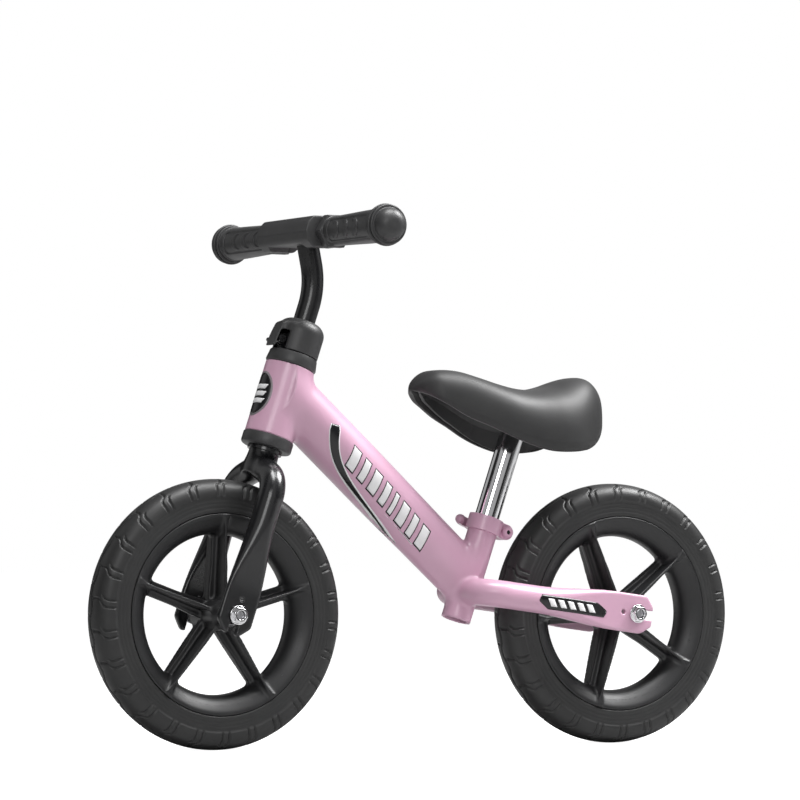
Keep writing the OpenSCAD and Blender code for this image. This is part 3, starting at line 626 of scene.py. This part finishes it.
def clamp_cover_field(x, y, z):
    a, c = turned(STEER, x, z)
    h = c - cover_low
    rho = np.hypot(a, y)
    top = cover_high - cover_low
    skin = join(dome(rho, h, COVER_R, top, 14), common(common(hood(a, h, 0), 12 - a), np.abs(y) - 10, 3), 4)
    shell = common(skin, 0.4 - h, 0.8)
    inside = dome(rho, h, COVER_R - COVER_WALL, top - COVER_WALL, 12)
    window = common(common(common(hood(a, h, COVER_WALL), h - 21, 3), 19.5 - a, 2), np.abs(y) - 30, 1)
    hole = rho - STEM_R - 0.5
    return cut(cut(cut(shell, inside), window), hole, 0.6)


cover_points = node_points("clamp_cover")
clamp_cover = carved("clamp_cover_shell", clamp_cover_field,
                     cover_points.min(0) - 2, cover_points.max(0) + 2, 0.8, cover_plastic)
fit(clamp_cover, "fork", "black_plastic", "clamp_cover")


# ---------- stem, bar cover and grips ----------

def bent_tube(name, line, r, material, sides=64):
    """A closed round bar along a line of (x, z) points in the bike's centre plane."""
    line = np.array(line, float)
    run = np.gradient(line, axis=0)
    run /= np.linalg.norm(run, axis=1)[:, None]
    normal = np.stack([run[:, 1], -run[:, 0]], 1)
    rings = [(0, 0.0), (0, r - 0.8), (0, r)] + [(i, r) for i in range(1, len(line) - 1)]
    rings += [(len(line) - 1, r), (len(line) - 1, 0.0)]
    angles = np.linspace(0, 2 * math.pi, sides, endpoint=False)
    points = []
    for i, radius in rings:
        for angle in angles:
            across, side = radius * math.cos(angle), radius * math.sin(angle)
            points.append((line[i][0] + normal[i][0] * across, side, line[i][1] + normal[i][1] * across))
    return outwards(piece(name, points, wrap_grid(len(rings), sides), material))


stem_foot, _, _ = along("stem_tube", STEER)
bend_s, stem_bend, stem_bend_r, stem_top = cover_high + 17.5, math.radians(30), 90.0, 30.0
line = [unturned(STEER, 0, s) for s in np.linspace(stem_foot, bend_s, 12)]
for turn in np.linspace(0, stem_bend, 26)[1:]:
    line.append(unturned(STEER, stem_bend_r * (1 - math.cos(turn)), bend_s + stem_bend_r * math.sin(turn)))
for s in np.linspace(0, stem_top, 6)[1:]:
    line.append(unturned(STEER, stem_bend_r * (1 - math.cos(stem_bend)) + s * math.sin(stem_bend),
                         bend_s + stem_bend_r * math.sin(stem_bend) + s * math.cos(stem_bend)))
stem = bent_tube("stem", line, STEM_R, black_paint)
fit(stem, "handlebar", "black_paint", "stem_tube")

COVER_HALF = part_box("bar_cover_front")[1].y / MM
SPLIT, BAR_BORE_R = 0.12, 11.1


def bar_cover_section(x, y, z):
    """Faceted cover round the middle of the bar, relieved underneath between its ends."""
    a, c = turned(BAR, x, z)
    up = np.abs(c)
    under = 17 - 5 * (1 - ease(np.abs(y), 38, 43))
    sides = common((a + up - 38) / math.sqrt(2), (10 * a + 3 * up - 310) / math.hypot(10, 3), 1.5)
    sides = common(sides, (up - a - 24) / math.sqrt(2), 1.5)
    sides = common(sides, -a - 17, 1.5)
    sides = common(sides, c - 17, 1.5)
    sides = common(sides, -c - under, 1.5)
    return common(sides, np.abs(y) - COVER_HALF, 1.6)


def bar_cover_field(side):
    """The front (1) or rear (-1) half of the cover, bored for the bar and the stem."""
    def field(x, y, z):
        a, c = turned(BAR, x, z)
        shell = common(bar_cover_section(x, y, z), SPLIT - side * a, 0.5)
        shell = cut(shell, np.hypot(a, c) - BAR_BORE_R, 0.5)
        if side < 0:
            for place in (-45, 45):
                shell = cut(shell, np.maximum(np.hypot(y - place, c) - 4.6, a + 15.2), 0.5)
        stem_a, stem_c = turned((BAR[0], BAR[1], STEER[2] - stem_bend), x, z)
        return cut(shell, np.maximum(np.hypot(stem_a, y) - STEM_R - 0.4, stem_c), 0.6)
    return field


for side, name in ((1, "bar_cover_front"), (-1, "bar_cover_rear")):
    low, high = (np.array(corner) for corner in corners(name))
    shell = carved(name + "_shell", bar_cover_field(side), low - 2, high + 2, 0.9, cover_plastic)
    fit(shell, "handlebar", "black_plastic", name)

grip_low, grip_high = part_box("grip_left")
grip_in = grip_low.y / MM
GRIP_LENGTH = grip_high.y / MM - grip_in
BALL_R = (grip_high.z - grip_low.z) / MM / 2
GRIP_RINGS = ((0.0, 19.2, 3.0), (5.0, 21.2, 3.2), (10.2, BALL_R - 1.0, 3.4), (15.6, BALL_R - 2.0, 3.0))


def grip_field(x, y, z):
    """Hexagon collar, a body with a sunk panel of crescents, stepped rings and a smooth end."""
    a, c = turned(BAR, x, z)
    t = y - grip_in
    rho, turn = np.hypot(a, c), np.arctan2(c, a)
    end = GRIP_LENGTH - 33.5
    body_r = 16.2 + 1.9 * ease(t, 8, end)
    body = common(rho - body_r, np.abs(t - end / 2) - end / 2, 1)
    arc = turn * body_r
    panel = rounded_box(arc, t - (13 + end) / 2 - 1, 13.5, (end - 13) / 2 - 5, 4)
    body = cut(body, common(panel, body_r - 1.3 - rho, 0.5), 0.8)
    for i in range(3):
        middle = 34 + i * 23
        moon = np.hypot(arc, t - middle) - 10.5
        moon = cut(moon, np.hypot(arc, t - middle + 6.5) - 9.5, 0.8)
        body = join(body, common(common(moon, rho - body_r + 0.1, 0.6), body_r - 3 - rho), 0.8)
    collar = common(hexagon(c, a, 17.4), np.abs(t - 5.5) - 5.5, 1.4)
    shape = join(body, collar, 1.2)
    for start, r, width in GRIP_RINGS:
        middle = end + start + width / 2
        shape = join(shape, rounded_box(rho, t - middle, r, width / 2, 1.4), 0.4)
    core = common(rho - 17.0, np.abs(t - end - 9) - 10, 1)
    nose = dome(rho, t, 17.7, GRIP_LENGTH - 0.4, 14.0)
    shape = join(join(shape, core, 0.7), common(nose, end - t), 1.0)
    return cut(shape, np.maximum(rho - BAR_BORE_R, t - GRIP_LENGTH + 14), 0.5)


low, high = (np.array(corner) for corner in corners("grip_left"))
grip_left = carved("grip_left_rubber", grip_field, low - 2, high + 2, 0.85, grip_rubber)
grip_right = mirrored(grip_left, "grip_right_rubber")
fit(grip_left, "handlebar", "grip_rubber", "grip_left")
fit(grip_right, "handlebar", "grip_rubber", "grip_right")


# ---------- wheels ----------

tyre_low, tyre_high = corners("front_tyre")
WHEEL_R = (tyre_high.z - tyre_low.z) / 2
TYRE_HALF = (tyre_high.y - tyre_low.y) / 2
lip_points = node_points("front_rim")
LIP_R = float(np.hypot(lip_points[:, 0] - front_axle[0], lip_points[:, 2] - front_axle[1]).max())
LIP_Y, LIP_BAND, FLARE_POWER = TYRE_HALF - 0.5, 2.6, 2.6
HUB_END = float(lip_points[:, 1].max())
HUB_R, WAIST_R = 17.0, LIP_R - 22
SPOKES, TREAD_PAIRS = 5, 26.0
TYRE_SHOULDER_R = 126.0


def rim_field(x, y, z):
    """Waisted barrel, hub and spokes; each spoke is a flat web with a pointed fin on both faces."""
    rho, side = np.hypot(x, z), np.abs(y)
    share = np.clip(side / LIP_Y, 0, 1)
    flare = LIP_R - LIP_BAND - WAIST_R
    inner = WAIST_R + flare * share ** FLARE_POWER
    slope = FLARE_POWER * flare / LIP_Y * share ** (FLARE_POWER - 1)
    outer = LIP_R - 10 + 10 * ease(side, 16.8, 19)
    barrel = common((inner - rho) / np.sqrt(1 + slope ** 2), rho - outer, 0.8)
    barrel = common(barrel, side - LIP_Y, 1.2)
    step = 2 * math.pi / SPOKES
    turn = np.mod(np.arctan2(x, z) + step / 2, step) - step / 2
    out, off = rho * np.cos(turn), np.abs(rho * np.sin(turn))
    web = rounded_box(off, side, 8.2 + 1.8 * ease(out, 55, 22), 4.2, 2)
    web = common(web, out - LIP_R + 12, 1)
    high = 26 + (LIP_Y - 26 - 1) * ease(out, HUB_R, LIP_R - 3)
    fin = common(off - 1.9 + 0.9 * ease(out, 30, LIP_R - 4), side - high, 0.6)
    fin = common(fin, out - LIP_R + 4, 0.6)
    spoke = common(join(web, fin, 3.5), HUB_R - 5 - out, 1)
    hub = common(rho - HUB_R + 2.2 * ease(side, 24, HUB_END), side - HUB_END, 1.2)
    shape = join(join(barrel, spoke, 6), hub, 5)
    shape = common(shape, rho - outer, 0.6)
    pocket = common(rho - 13.1, HUB_END - 8 - side, 0.4)
    return cut(cut(shape, pocket, 0.5), rho - 10, 0.5)


rim_corner = np.array((LIP_R + 2, HUB_END + 2, LIP_R + 2))
rim_points, rim_faces = surface_net(rim_field, -rim_corner, rim_corner, 1.3)
for end, axle, turn in (("front", front_axle, math.radians(-2)), ("rear", rear_axle, math.radians(21))):
    rim = piece(end + "_wheel_rim", spun(rim_points, turn, axle), rim_faces, rim_plastic)
    fit(rim, end + "_wheel", "rim_plastic", end + "_rim")


def grown(obj, tree, **values):
    """Runs a tree on an object with its named inputs set, and keeps the result as a plain mesh."""
    modifier = obj.modifiers.new(tree.name, "NODES")
    modifier.node_group = tree
    for item in tree.interface.items_tree:
        key = item.name.lower().replace(" ", "_")
        if item.item_type == "SOCKET" and item.in_out == "INPUT" and key in values:
            modifier[item.identifier] = values[key]
    shown = obj.evaluated_get(bpy.context.evaluated_depsgraph_get())
    mesh = bpy.data.meshes.new_from_object(shown)
    obj.modifiers.remove(modifier)
    mesh.name = obj.name
    obj.data = mesh
    return obj


def tread_tree():
    """Sinks pairs of S-shaped cuts and a wavy centre groove into a tyre's crown."""
    tree, given, out = group("tyre_tread", "GeometryNodeTree", [
        ("Geometry", "Geometry"), ("Axle", "Vector"), ("Shoulder Radius", "Float"), ("Pairs", "Float"),
        ("Depth", "Float"), ("Half Width", "Float"), ("Material", "Material")], ("Geometry", "Geometry"))

    def do(operation, *values):
        return maths(tree, operation, *values)

    position = add(tree, "GeometryNodeInputPosition").outputs[0]
    normal = add(tree, "GeometryNodeInputNormal").outputs[0]
    offset = add(tree, "ShaderNodeVectorMath", {0: position, 1: given["Axle"]}, operation="SUBTRACT")
    x, y, z = add(tree, "ShaderNodeSeparateXYZ", {0: offset.outputs[0]}).outputs
    pairs, half = given["Pairs"], given["Half Width"]
    radius = do("SQRT", do("ADD", do("MULTIPLY", x, x), do("MULTIPLY", z, z)))
    turn = do("ARCTAN2", z, x)
    side = do("ABSOLUTE", y)
    lift = do("SUBTRACT", radius, given["Shoulder Radius"])
    share = do("DIVIDE", do("ARCTAN2", side, lift), math.pi / 2)
    pitch = do("DIVIDE", do("MULTIPLY", radius, 2 * math.pi), pairs)
    bow = do("MULTIPLY", do("TANH", do("MULTIPLY", do("SUBTRACT", share, 0.52), 11.0)), 0.13)
    far = do("MULTIPLY", do("LESS_THAN", y, 0.0), 0.5)
    steps = do("DIVIDE", do("MULTIPLY", turn, pairs), 2 * math.pi)
    phase = do("FRACT", do("ADD", do("ADD", steps, bow), do("ADD", far, 8.0)))
    soft = do("ADD", half, 0.0007)
    cuts = []
    for line, inner in ((0.38, 0.10), (0.62, 0.50)):
        away = do("MULTIPLY", do("ABSOLUTE", do("SUBTRACT", phase, line)), pitch)
        groove = fade(tree, away, half, soft, 1.0, 0.0)
        window = do("MULTIPLY", fade(tree, share, inner, inner + 0.05),
                    fade(tree, share, 0.97, 1.03, 1.0, 0.0))
        cuts.append(do("MULTIPLY", groove, window))
    wave = do("MULTIPLY", do("SINE", do("MULTIPLY", turn, pairs)), 0.0026)
    centre = do("ABSOLUTE", do("SUBTRACT", y, wave))
    on_crown = fade(tree, lift, 0.0, 0.002)
    cuts.append(do("MULTIPLY", fade(tree, centre, half, soft, 1.0, 0.0), on_crown))
    deepest = do("MAXIMUM", do("MAXIMUM", cuts[0], cuts[1]), cuts[2])
    depth = do("MULTIPLY", do("MULTIPLY", deepest, given["Depth"]), -1.0)
    sink = add(tree, "ShaderNodeVectorMath", {0: normal, "Scale": depth}, operation="SCALE")
    move = add(tree, "GeometryNodeSetPosition", {"Geometry": given["Geometry"], "Offset": sink.outputs[0]})
    dress = add(tree, "GeometryNodeSetMaterial",
                {"Geometry": move.outputs[0], "Material": given["Material"]})
    fill(tree, out, {"Geometry": dress.outputs[0]})
    return tree


def tyre_profile():
    """Half of a tyre's section from the crown's middle round to its seat, as (radius, half width)."""
    crown = WHEEL_R - TYRE_SHOULDER_R
    half = []
    for t in np.linspace(0, 1, 39):
        angle = t * math.pi / 2
        half.append((TYRE_SHOULDER_R + crown * math.cos(angle) ** 0.82,
                     (TYRE_HALF - 0.2) * math.sin(angle) ** 0.86))
    half.append((TYRE_SHOULDER_R - 0.8, TYRE_HALF - 0.9))
    for edge in (122.2, 118.0, 113.8):
        half += [(edge + 1.7, TYRE_HALF - 0.9), (edge + 0.5, TYRE_HALF - 1.35),
                 (edge - 0.5, TYRE_HALF - 0.9)]
    half += [(LIP_R + 1.6, TYRE_HALF - 0.7), (LIP_R + 0.4, TYRE_HALF - 1.4)]
    return half + [(LIP_R + 0.4, 18.7), (LIP_R - 9.6, 16.4)]


def tyre(name, axle, around):
    """A foam tyre: its section carried round the axle."""
    half = tyre_profile()
    section = np.array(half[::-1] + [(r, -y) for r, y in half[1:]])
    angles = np.linspace(0, 2 * math.pi, around, endpoint=False)
    x = axle[0] + section[None, :, 0] * np.cos(angles)[:, None]
    z = axle[1] + section[None, :, 0] * np.sin(angles)[:, None]
    y = np.broadcast_to(section[None, :, 1], x.shape)
    points = np.stack([x.ravel(), y.ravel(), z.ravel()], 1)
    faces = wrap_grid(around, len(section), wrap_rows=True)
    return outwards(piece(name, points, faces, tyre_foam))


TREAD = tread_tree()
for end, axle in (("front", front_axle), ("rear", rear_axle)):
    foam = tyre(end + "_wheel_tyre", axle, int(960 / COARSE))
    grown(foam, TREAD, axle=(axle[0] * MM, 0, axle[1] * MM), shoulder_radius=TYRE_SHOULDER_R * MM,
          pairs=TREAD_PAIRS, depth=1.8 * MM, half_width=0.75 * MM, material=tyre_foam)
    fit(foam, end + "_wheel", "tyre_foam", end + "_tyre")


# ---------- saddle ----------

saddle_low, saddle_high = corners("saddle_cover")
SADDLE_LENGTH = saddle_high.x - saddle_low.x
SADDLE_HALF = (saddle_high.y - saddle_low.y) / 2
SADDLE_NOSE = saddle_high.x
SADDLE_Z = SEAT[1] + 255
CREST = (12, 19, 19, 13, 6, 1, 0, 4, 12, 18, 16)
SKIRT = (-6, -17, -31, -41, -52, -61, -67, -68, -66, -60, -52)
HALF_WIDTH = (0.4, 0.52, 0.63, 0.76, 0.87, 0.93, 0.97, 1.0, 1.0, 0.95, 0.85)
PAD_T, EDGE_DROP = 11.0, 1.6


def spline(values, t):
    """Smooth value at t along evenly spaced values."""
    n = len(values) - 1
    i = min(int(t * n), n - 1)
    f = t * n - i
    a, b, c, d = values[max(i - 1, 0)], values[i], values[i + 1], values[min(i + 2, n)]
    return b + 0.5 * f * (c - a + f * (2 * a - 5 * b + 4 * c - d + f * (3 * (b - c) + d - a)))


def end_round(t, tail, nose=0.1):
    """How full the saddle is at t, rounded off over its nose and its tail."""
    u = 1 - t / nose if t < nose else max(1 - (1 - t) / tail, 0)
    return max(math.sqrt(1 - u * u), 0.03)


def saddle_ring(t, inset, count):
    """One arch of the saddle, from the left skirt over the crest to the right skirt."""
    cap, wide = end_round(t, 0.2), end_round(t, 0.36)
    square = 0.64 + 0.3 * max(t - 0.6, 0)
    mid = -2 - 15 * float(ease(t, 0.3, 0.7))
    w = spline(HALF_WIDTH, t) * SADDLE_HALF * wide
    top = mid + (spline(CREST, t) - mid) * cap
    low = mid + (spline(SKIRT, t) - mid) * cap
    inset = min(inset, 0.55 * w)
    w -= inset * 0.8
    h = max(top - inset - low, 1.0)
    x = SADDLE_NOSE - (inset * 0.8 + t * (SADDLE_LENGTH - inset * 1.6))
    ring = []
    for angle in np.linspace(0, math.pi, count):
        c, s = math.cos(angle), math.sin(angle)
        ring.append((x, w * math.copysign(abs(c) ** square, c), SADDLE_Z + low + h * max(s, 0) ** square))
    return ring


def rolled_edge(start, end):
    """The rolled lower edge, from the skin's outer face to its inner one or back."""
    start, end, drop = np.array(start), np.array(end), np.array((0, 0, -EDGE_DROP))
    return [tuple((start * (1 - f) + end * f) + drop * dip)
            for f, dip in ((0.2, 0.7), (0.5, 1.0), (0.8, 0.7))]


def saddle():
    """The padding: an open arch with a skin outside, a near-black lining inside that is painted shade, and rolled
    edges.
    """
    steps, count = 72, 61
    points = []
    for k in range(steps + 1):
        t = 0.5 - 0.5 * math.cos(math.pi * k / steps)
        outer = saddle_ring(t, 0, count)
        inner = saddle_ring(t, PAD_T, count)[::-1]
        points += outer + rolled_edge(outer[-1], inner[0]) + inner + rolled_edge(inner[-1], outer[0])
    ring = 2 * count + 6
    faces = wrap_grid(steps + 1, ring).tolist()
    faces += [list(range(ring)), list(range(steps * ring, (steps + 1) * ring))[::-1]]
    obj = outwards(piece("saddle_pad", points, faces, saddle_skin, saddle_lining))
    # Faces inside the arch take the second, near-black material: painted shade under the saddle.
    for face in obj.data.polygons:
        places = [v % ring for v in face.vertices]
        if min(places) > count and max(places) < 2 * count + 5:
            face.material_index = 1
    return obj


pad = saddle()
fit(pad, "seat", "saddle_skin", "saddle_cover")


# ---------- seat post and axle hardware -----------------

post_foot, _, _ = along("seat_post", SEAT)
POST_R, POST_BORE_R = 13.6, 13.6 - 1.8
plate_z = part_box("saddle_plate")[0].z / MM


def seat_post(sides=96):
    """A chromed tube whose top (None) is cut level under the saddle's plate."""
    angles = np.linspace(0, 2 * math.pi, sides, endpoint=False)
    points = []
    for s, r in ((post_foot + 6, POST_BORE_R), (post_foot, POST_BORE_R), (post_foot, POST_R - 0.5),
                 (post_foot + 0.5, POST_R), (None, POST_R), (None, POST_BORE_R)):
        for angle in angles:
            a, y = r * math.cos(angle), r * math.sin(angle)
            station = s
            if s is None:
                station = (plate_z - SEAT[1] - a * math.sin(SEAT[2])) / math.cos(SEAT[2])
            x, z = unturned(SEAT, a, station)
            points.append((x, y, z))
    obj = outwards(piece("seat_post_tube", points, wrap_grid(6, sides, wrap_rows=True), chrome))
    obj.data.set_sharp_from_angle(angle=SHARP)
    return obj


fit(seat_post(), "seat", "chrome", "seat_post")


def nut_field(c, u, v):
    """Hexagon nut on a round flange: c runs out along the axle."""
    rho = np.hypot(u, v)
    body = common(hexagon(u, v, 7.5), np.abs(c - 4) - 4, 0.4)
    body = common(body, (rho + c - 15.6) / math.sqrt(2), 0.3)
    flange = common(rho - 10.3, np.abs(c - 1.2) - 1.2, 0.5)
    return cut(join(body, flange, 0.8), rho - 5.02, 0.3)


nut_points, nut_faces = surface_net(lambda x, y, z: nut_field(y, x, z), (-12, -1, -12), (12, 9, 12), 0.45)
NUT_OUT = drop_out + 1.5


def axle_nuts(name, axle, turn):
    """An axle's two nuts."""
    left = spun(nut_points + (0, NUT_OUT, 0), turn, axle)
    right = left * (1, -1, 1)
    faces = np.concatenate([nut_faces, nut_faces[:, ::-1] + len(left)])
    return piece(name, np.concatenate([left, right]), faces, chrome)


fit(axle_nuts("front_nuts", front_axle, 0.2), "fork", "chrome", "front_axle_nuts")
fit(axle_nuts("rear_nuts", rear_axle, 0.35), "frame", "chrome", "rear_axle_nuts")


# ---------- printed marks ----------

SKIN = BVHTree.FromObject(frame_body, bpy.context.evaluated_depsgraph_get())
BAR_LENGTHS, BAR_HALF = (15, 12, 15, 12, 9, 15, 12, 15), 10.5
BADGE_UP, BADGE_HALF_WIDTH, BADGE_HALF_HEIGHT = 41, 20, 25.5


def sticker(name, rows, towards, material, height=0.25):
    """A thin printed film laid on the frame: a grid of points thrown on to its surface."""
    rows = [[Vector(point) for point in row] for row in rows]
    top, bottom = [], []
    for row in rows:
        for point in row:
            hit, normal, _, _ = SKIN.ray_cast(point * MM - Vector(towards), Vector(towards))
            if hit is None:
                hit, normal, _, _ = SKIN.find_nearest(point * MM - Vector(towards) * 0.03)
            top.append((hit + normal * height * MM) / MM)
            bottom.append((hit - normal * 0.15 * MM) / MM)
    n, m = len(rows), len(rows[0])
    faces = [[i * m + j, i * m + j + 1, (i + 1) * m + j + 1, (i + 1) * m + j]
             for i in range(n - 1) for j in range(m - 1)]
    under = [[v + n * m for v in reversed(face)] for face in faces]
    edge = list(range(m)) + [i * m + m - 1 for i in range(1, n)]
    edge += [(n - 1) * m + j for j in range(m - 2, -1, -1)] + [i * m for i in range(n - 2, 0, -1)]
    walls = [[edge[i], edge[(i + 1) % len(edge)], edge[(i + 1) % len(edge)] + n * m, edge[i] + n * m]
             for i in range(len(edge))]
    return outwards(piece(name, top + bottom, faces + under + walls, material))


def strip(path, widths, columns=9):
    """Rows of points across a path in the bike's side plane."""
    path = np.array(path, float)
    run = np.gradient(path, axis=0)
    run /= np.linalg.norm(run, axis=1)[:, None]
    rows = []
    for (x, z), (dx, dz), width in zip(path, run, widths):
        rows.append([(x - dz * width * s, 0, z + dx * width * s) for s in np.linspace(-0.5, 0.5, columns)])
    return rows


def sweep_line(count=60):
    """The flowing stripe: down across the main tube's head end, then back along its underside."""
    start, high, low, end = (np.array(p) for p in ((117, 350), (127, 306), (88, 284), (22, 212)))
    t = np.linspace(0, 1, count)[:, None]
    return (1 - t) ** 3 * start + 3 * t * (1 - t) ** 2 * high + 3 * t ** 2 * (1 - t) * low + t ** 3 * end


def label_rows(xs, halves, count):
    """Slanted rows of points along the chainstay, each as tall as its half height says."""
    rows = []
    for x, half in zip(xs, halves):
        middle = stay_root[1] - 2 + (x - stay_root[0]) * math.tan(stay_slope)
        rows.append([(x + h * half * 0.5, 0, middle + h * half) for h in np.linspace(-1, 1, count)])
    return rows


def marks(side):
    """The stripe, bars and label on one side of the frame."""
    made = []
    towards = (0, -side, 0)
    label = "left" if side > 0 else "right"
    path = sweep_line()
    t = np.linspace(0, 1, len(path))
    width = 0.6 + 12.5 * (1 - t) ** 1.9 * np.minimum(1, 0.7 + t * 6)
    made.append(sticker("stripe_edge_" + label, strip(path, width + 2.2), towards, decal_white, 0.12))
    made.append(sticker("stripe_" + label, strip(path, width), towards, decal_black, 0.24))
    head, tail = np.array((104.0, 322.0)), np.array((-10.0, 214.0))
    run = (tail - head) / np.linalg.norm(tail - head)
    up = np.array((-run[1], run[0]))
    if up[1] < 0:
        up = -up
    place = 0.0
    for i, length in enumerate(BAR_LENGTHS):
        for grow, material, lift in ((1.3, decal_black, 0.14), (0.0, decal_white, 0.26)):
            rows = []
            for s in np.linspace(place - grow, place + length - 3.6 + grow, 6):
                row = []
                for h in np.linspace(-BAR_HALF - grow, BAR_HALF + grow, 12):
                    x, z = head + run * (s - h * 0.35 + 8) + up * h
                    row.append((x, 0, z))
                rows.append(row)
            kind = "edge" if grow else "fill"
            made.append(sticker(f"bar_{i}_{kind}_{label}", rows, towards, material, lift))
        place += length + 4.6
    share = np.linspace(0, 1, 24)
    half = 8.2 * np.minimum(1, np.minimum(0.12 + share / 0.09, 0.12 + (1 - share) / 0.09))
    made.append(sticker("label_" + label, label_rows(-117 - 90 * share, half, 9), towards, decal_black, 0.2))
    for i in range(5):
        rows = label_rows(-130 - i * 13 - 8 * np.linspace(0, 1, 4), [4.4] * 4, 6)
        made.append(sticker(f"label_bar_{i}_{label}", rows, towards, decal_white, 0.34))
    for made_piece in made:
        fit(made_piece, "frame", "pink_paint")


for side in (1, -1):
    marks(side)


def badge_disc(name, grow, material, height):
    """An oval printed mark on the front of the head tube."""
    n, m = 10, 48
    points = []
    for r in np.linspace(0.02, 1, n):
        for angle in np.linspace(0, 2 * math.pi, m + 1)[:-1]:
            across = (BADGE_HALF_WIDTH + grow) * r * math.cos(angle) / head_r
            c = head_low + BADGE_UP + (BADGE_HALF_HEIGHT + grow) * r * math.sin(angle)
            a, y = math.cos(across) * head_r, math.sin(across) * head_r
            x, z = unturned(STEER, a + height, c)
            points.append((x, y, z))
    back = [np.array(p) - np.array((height + 0.3, 0, 0)) for p in points]
    faces = wrap_grid(n, m).tolist()
    faces.append(list(range(m))[::-1])
    under = [[v + n * m for v in reversed(face)] for face in faces]
    last = (n - 1) * m
    rim = [[last + j, last + (j + 1) % m, last + (j + 1) % m + n * m, last + j + n * m] for j in range(m)]
    return outwards(piece(name, points + back, faces + under + rim, material))


fit(badge_disc("badge_ring", 0.0, decal_grey, 0.2), "frame", "pink_paint")
fit(badge_disc("badge_field", -2.2, decal_black, 0.34), "frame", "pink_paint")
for i in range(3):
    rows = []
    for up in np.linspace(-2.6, 2.6, 4):
        x, z = unturned(STEER, head_r + 5, head_low + 49 - i * 8 + up)
        rows.append([(x, 11 * s + up * 0.6, z) for s in np.linspace(-1, 1, 9)])
    bar = sticker(f"badge_bar_{i}", rows, (-math.cos(STEER[2]), 0, -math.sin(STEER[2])), decal_white, 0.5)
    fit(bar, "frame", "pink_paint")


# ---------- floor, lights and camera ----------

def area_light(name, place, aim, size, power, colour=(1, 1, 1)):
    light = bpy.data.lights.new(name, "AREA")
    light.shape = "RECTANGLE"
    light.size, light.size_y = size
    light.energy = power
    light.color = colour
    obj = bpy.data.objects.new(name, light)
    obj.location = place
    obj.rotation_euler = (Vector(aim) - Vector(place)).to_track_quat("-Z", "Y").to_euler()
    bpy.context.scene.collection.objects.link(obj)


def floor(size=30000.0):
    """A pale floor that the camera sees as almost white."""
    material = bpy.data.materials.new("pale_floor")
    material.use_nodes = True
    tree = material.node_tree
    glow = maths(tree, "MULTIPLY", add(tree, "ShaderNodeLightPath").outputs["Is Camera Ray"], 0.94)
    fill(tree, tree.nodes["Principled BSDF"], {
        "Base Color": (0.42, 0.42, 0.42, 1), "Roughness": 0.9, "Specular IOR Level": 0.1,
        "Emission Color": (1, 1, 1, 1), "Emission Strength": glow})
    corners_of_floor = [(-size, -size, 0), (size, -size, 0), (size, size, 0), (-size, size, 0)]
    piece("floor", corners_of_floor, [[0, 1, 2, 3]], material, smooth=False)


def studio_walls(tree):
    """A white backdrop, with dim stretches of wall that only polished metal and gloss paint pick up."""
    place = add(tree, "ShaderNodeTexCoord").outputs["Generated"]
    x, y, _ = add(tree, "ShaderNodeSeparateXYZ", {0: place}).outputs
    bands = maths(tree, "SINE", maths(tree, "MULTIPLY", maths(tree, "ARCTAN2", y, x), 5.0))
    wall = fade(tree, bands, -0.25, 0.3, 0.02, 0.42)
    camera_ray = add(tree, "ShaderNodeLightPath").outputs["Is Camera Ray"]
    seen = add(tree, "ShaderNodeMix", {"Factor": camera_ray, "A": wall, "B": 1.0})
    fill(tree, tree.nodes["Background"], {"Strength": seen.outputs["Result"], "Color": (1, 1, 1, 1)})


floor()
world = bpy.data.worlds.new("studio")
bpy.context.scene.world = world
world.use_nodes = True
studio_walls(world.node_tree)
bpy.context.scene.view_settings.view_transform = "Standard"
MIDDLE = (0, 0, 0.3)
area_light("rear_key", (-1.7, 0.5, 2.3), MIDDLE, (1.2, 1.2), 110)
area_light("front_fill", (2.2, 3.4, 1.9), MIDDLE, (1.6, 1.6), 42)
area_light("overhead", (-0.1, 0.5, 3.0), MIDDLE, (1.4, 1.4), 85)

AZIMUTH, ELEVATION = math.radians(151.74), math.radians(-1.86)
AIM, DISTANCE = Vector((0.0226, 0.0, 0.3789)), 5.0
LENS, SENSOR, ROLL = 205.4, 36.0, math.radians(0.24)
camera = bpy.data.cameras.new("camera")
camera.lens, camera.sensor_width = LENS, SENSOR
camera.clip_end = 100.0
camera_object = bpy.data.objects.new("camera", camera)
back = Vector((math.sin(AZIMUTH) * math.cos(ELEVATION), -math.cos(AZIMUTH) * math.cos(ELEVATION),
               math.sin(ELEVATION)))
camera_object.location = AIM + back * DISTANCE
camera_object.rotation_euler = back.to_track_quat("Z", "Y").to_euler()
camera_object.rotation_euler.rotate_axis("Z", ROLL)
bpy.context.scene.collection.objects.link(camera_object)
bpy.context.scene.camera = camera_object
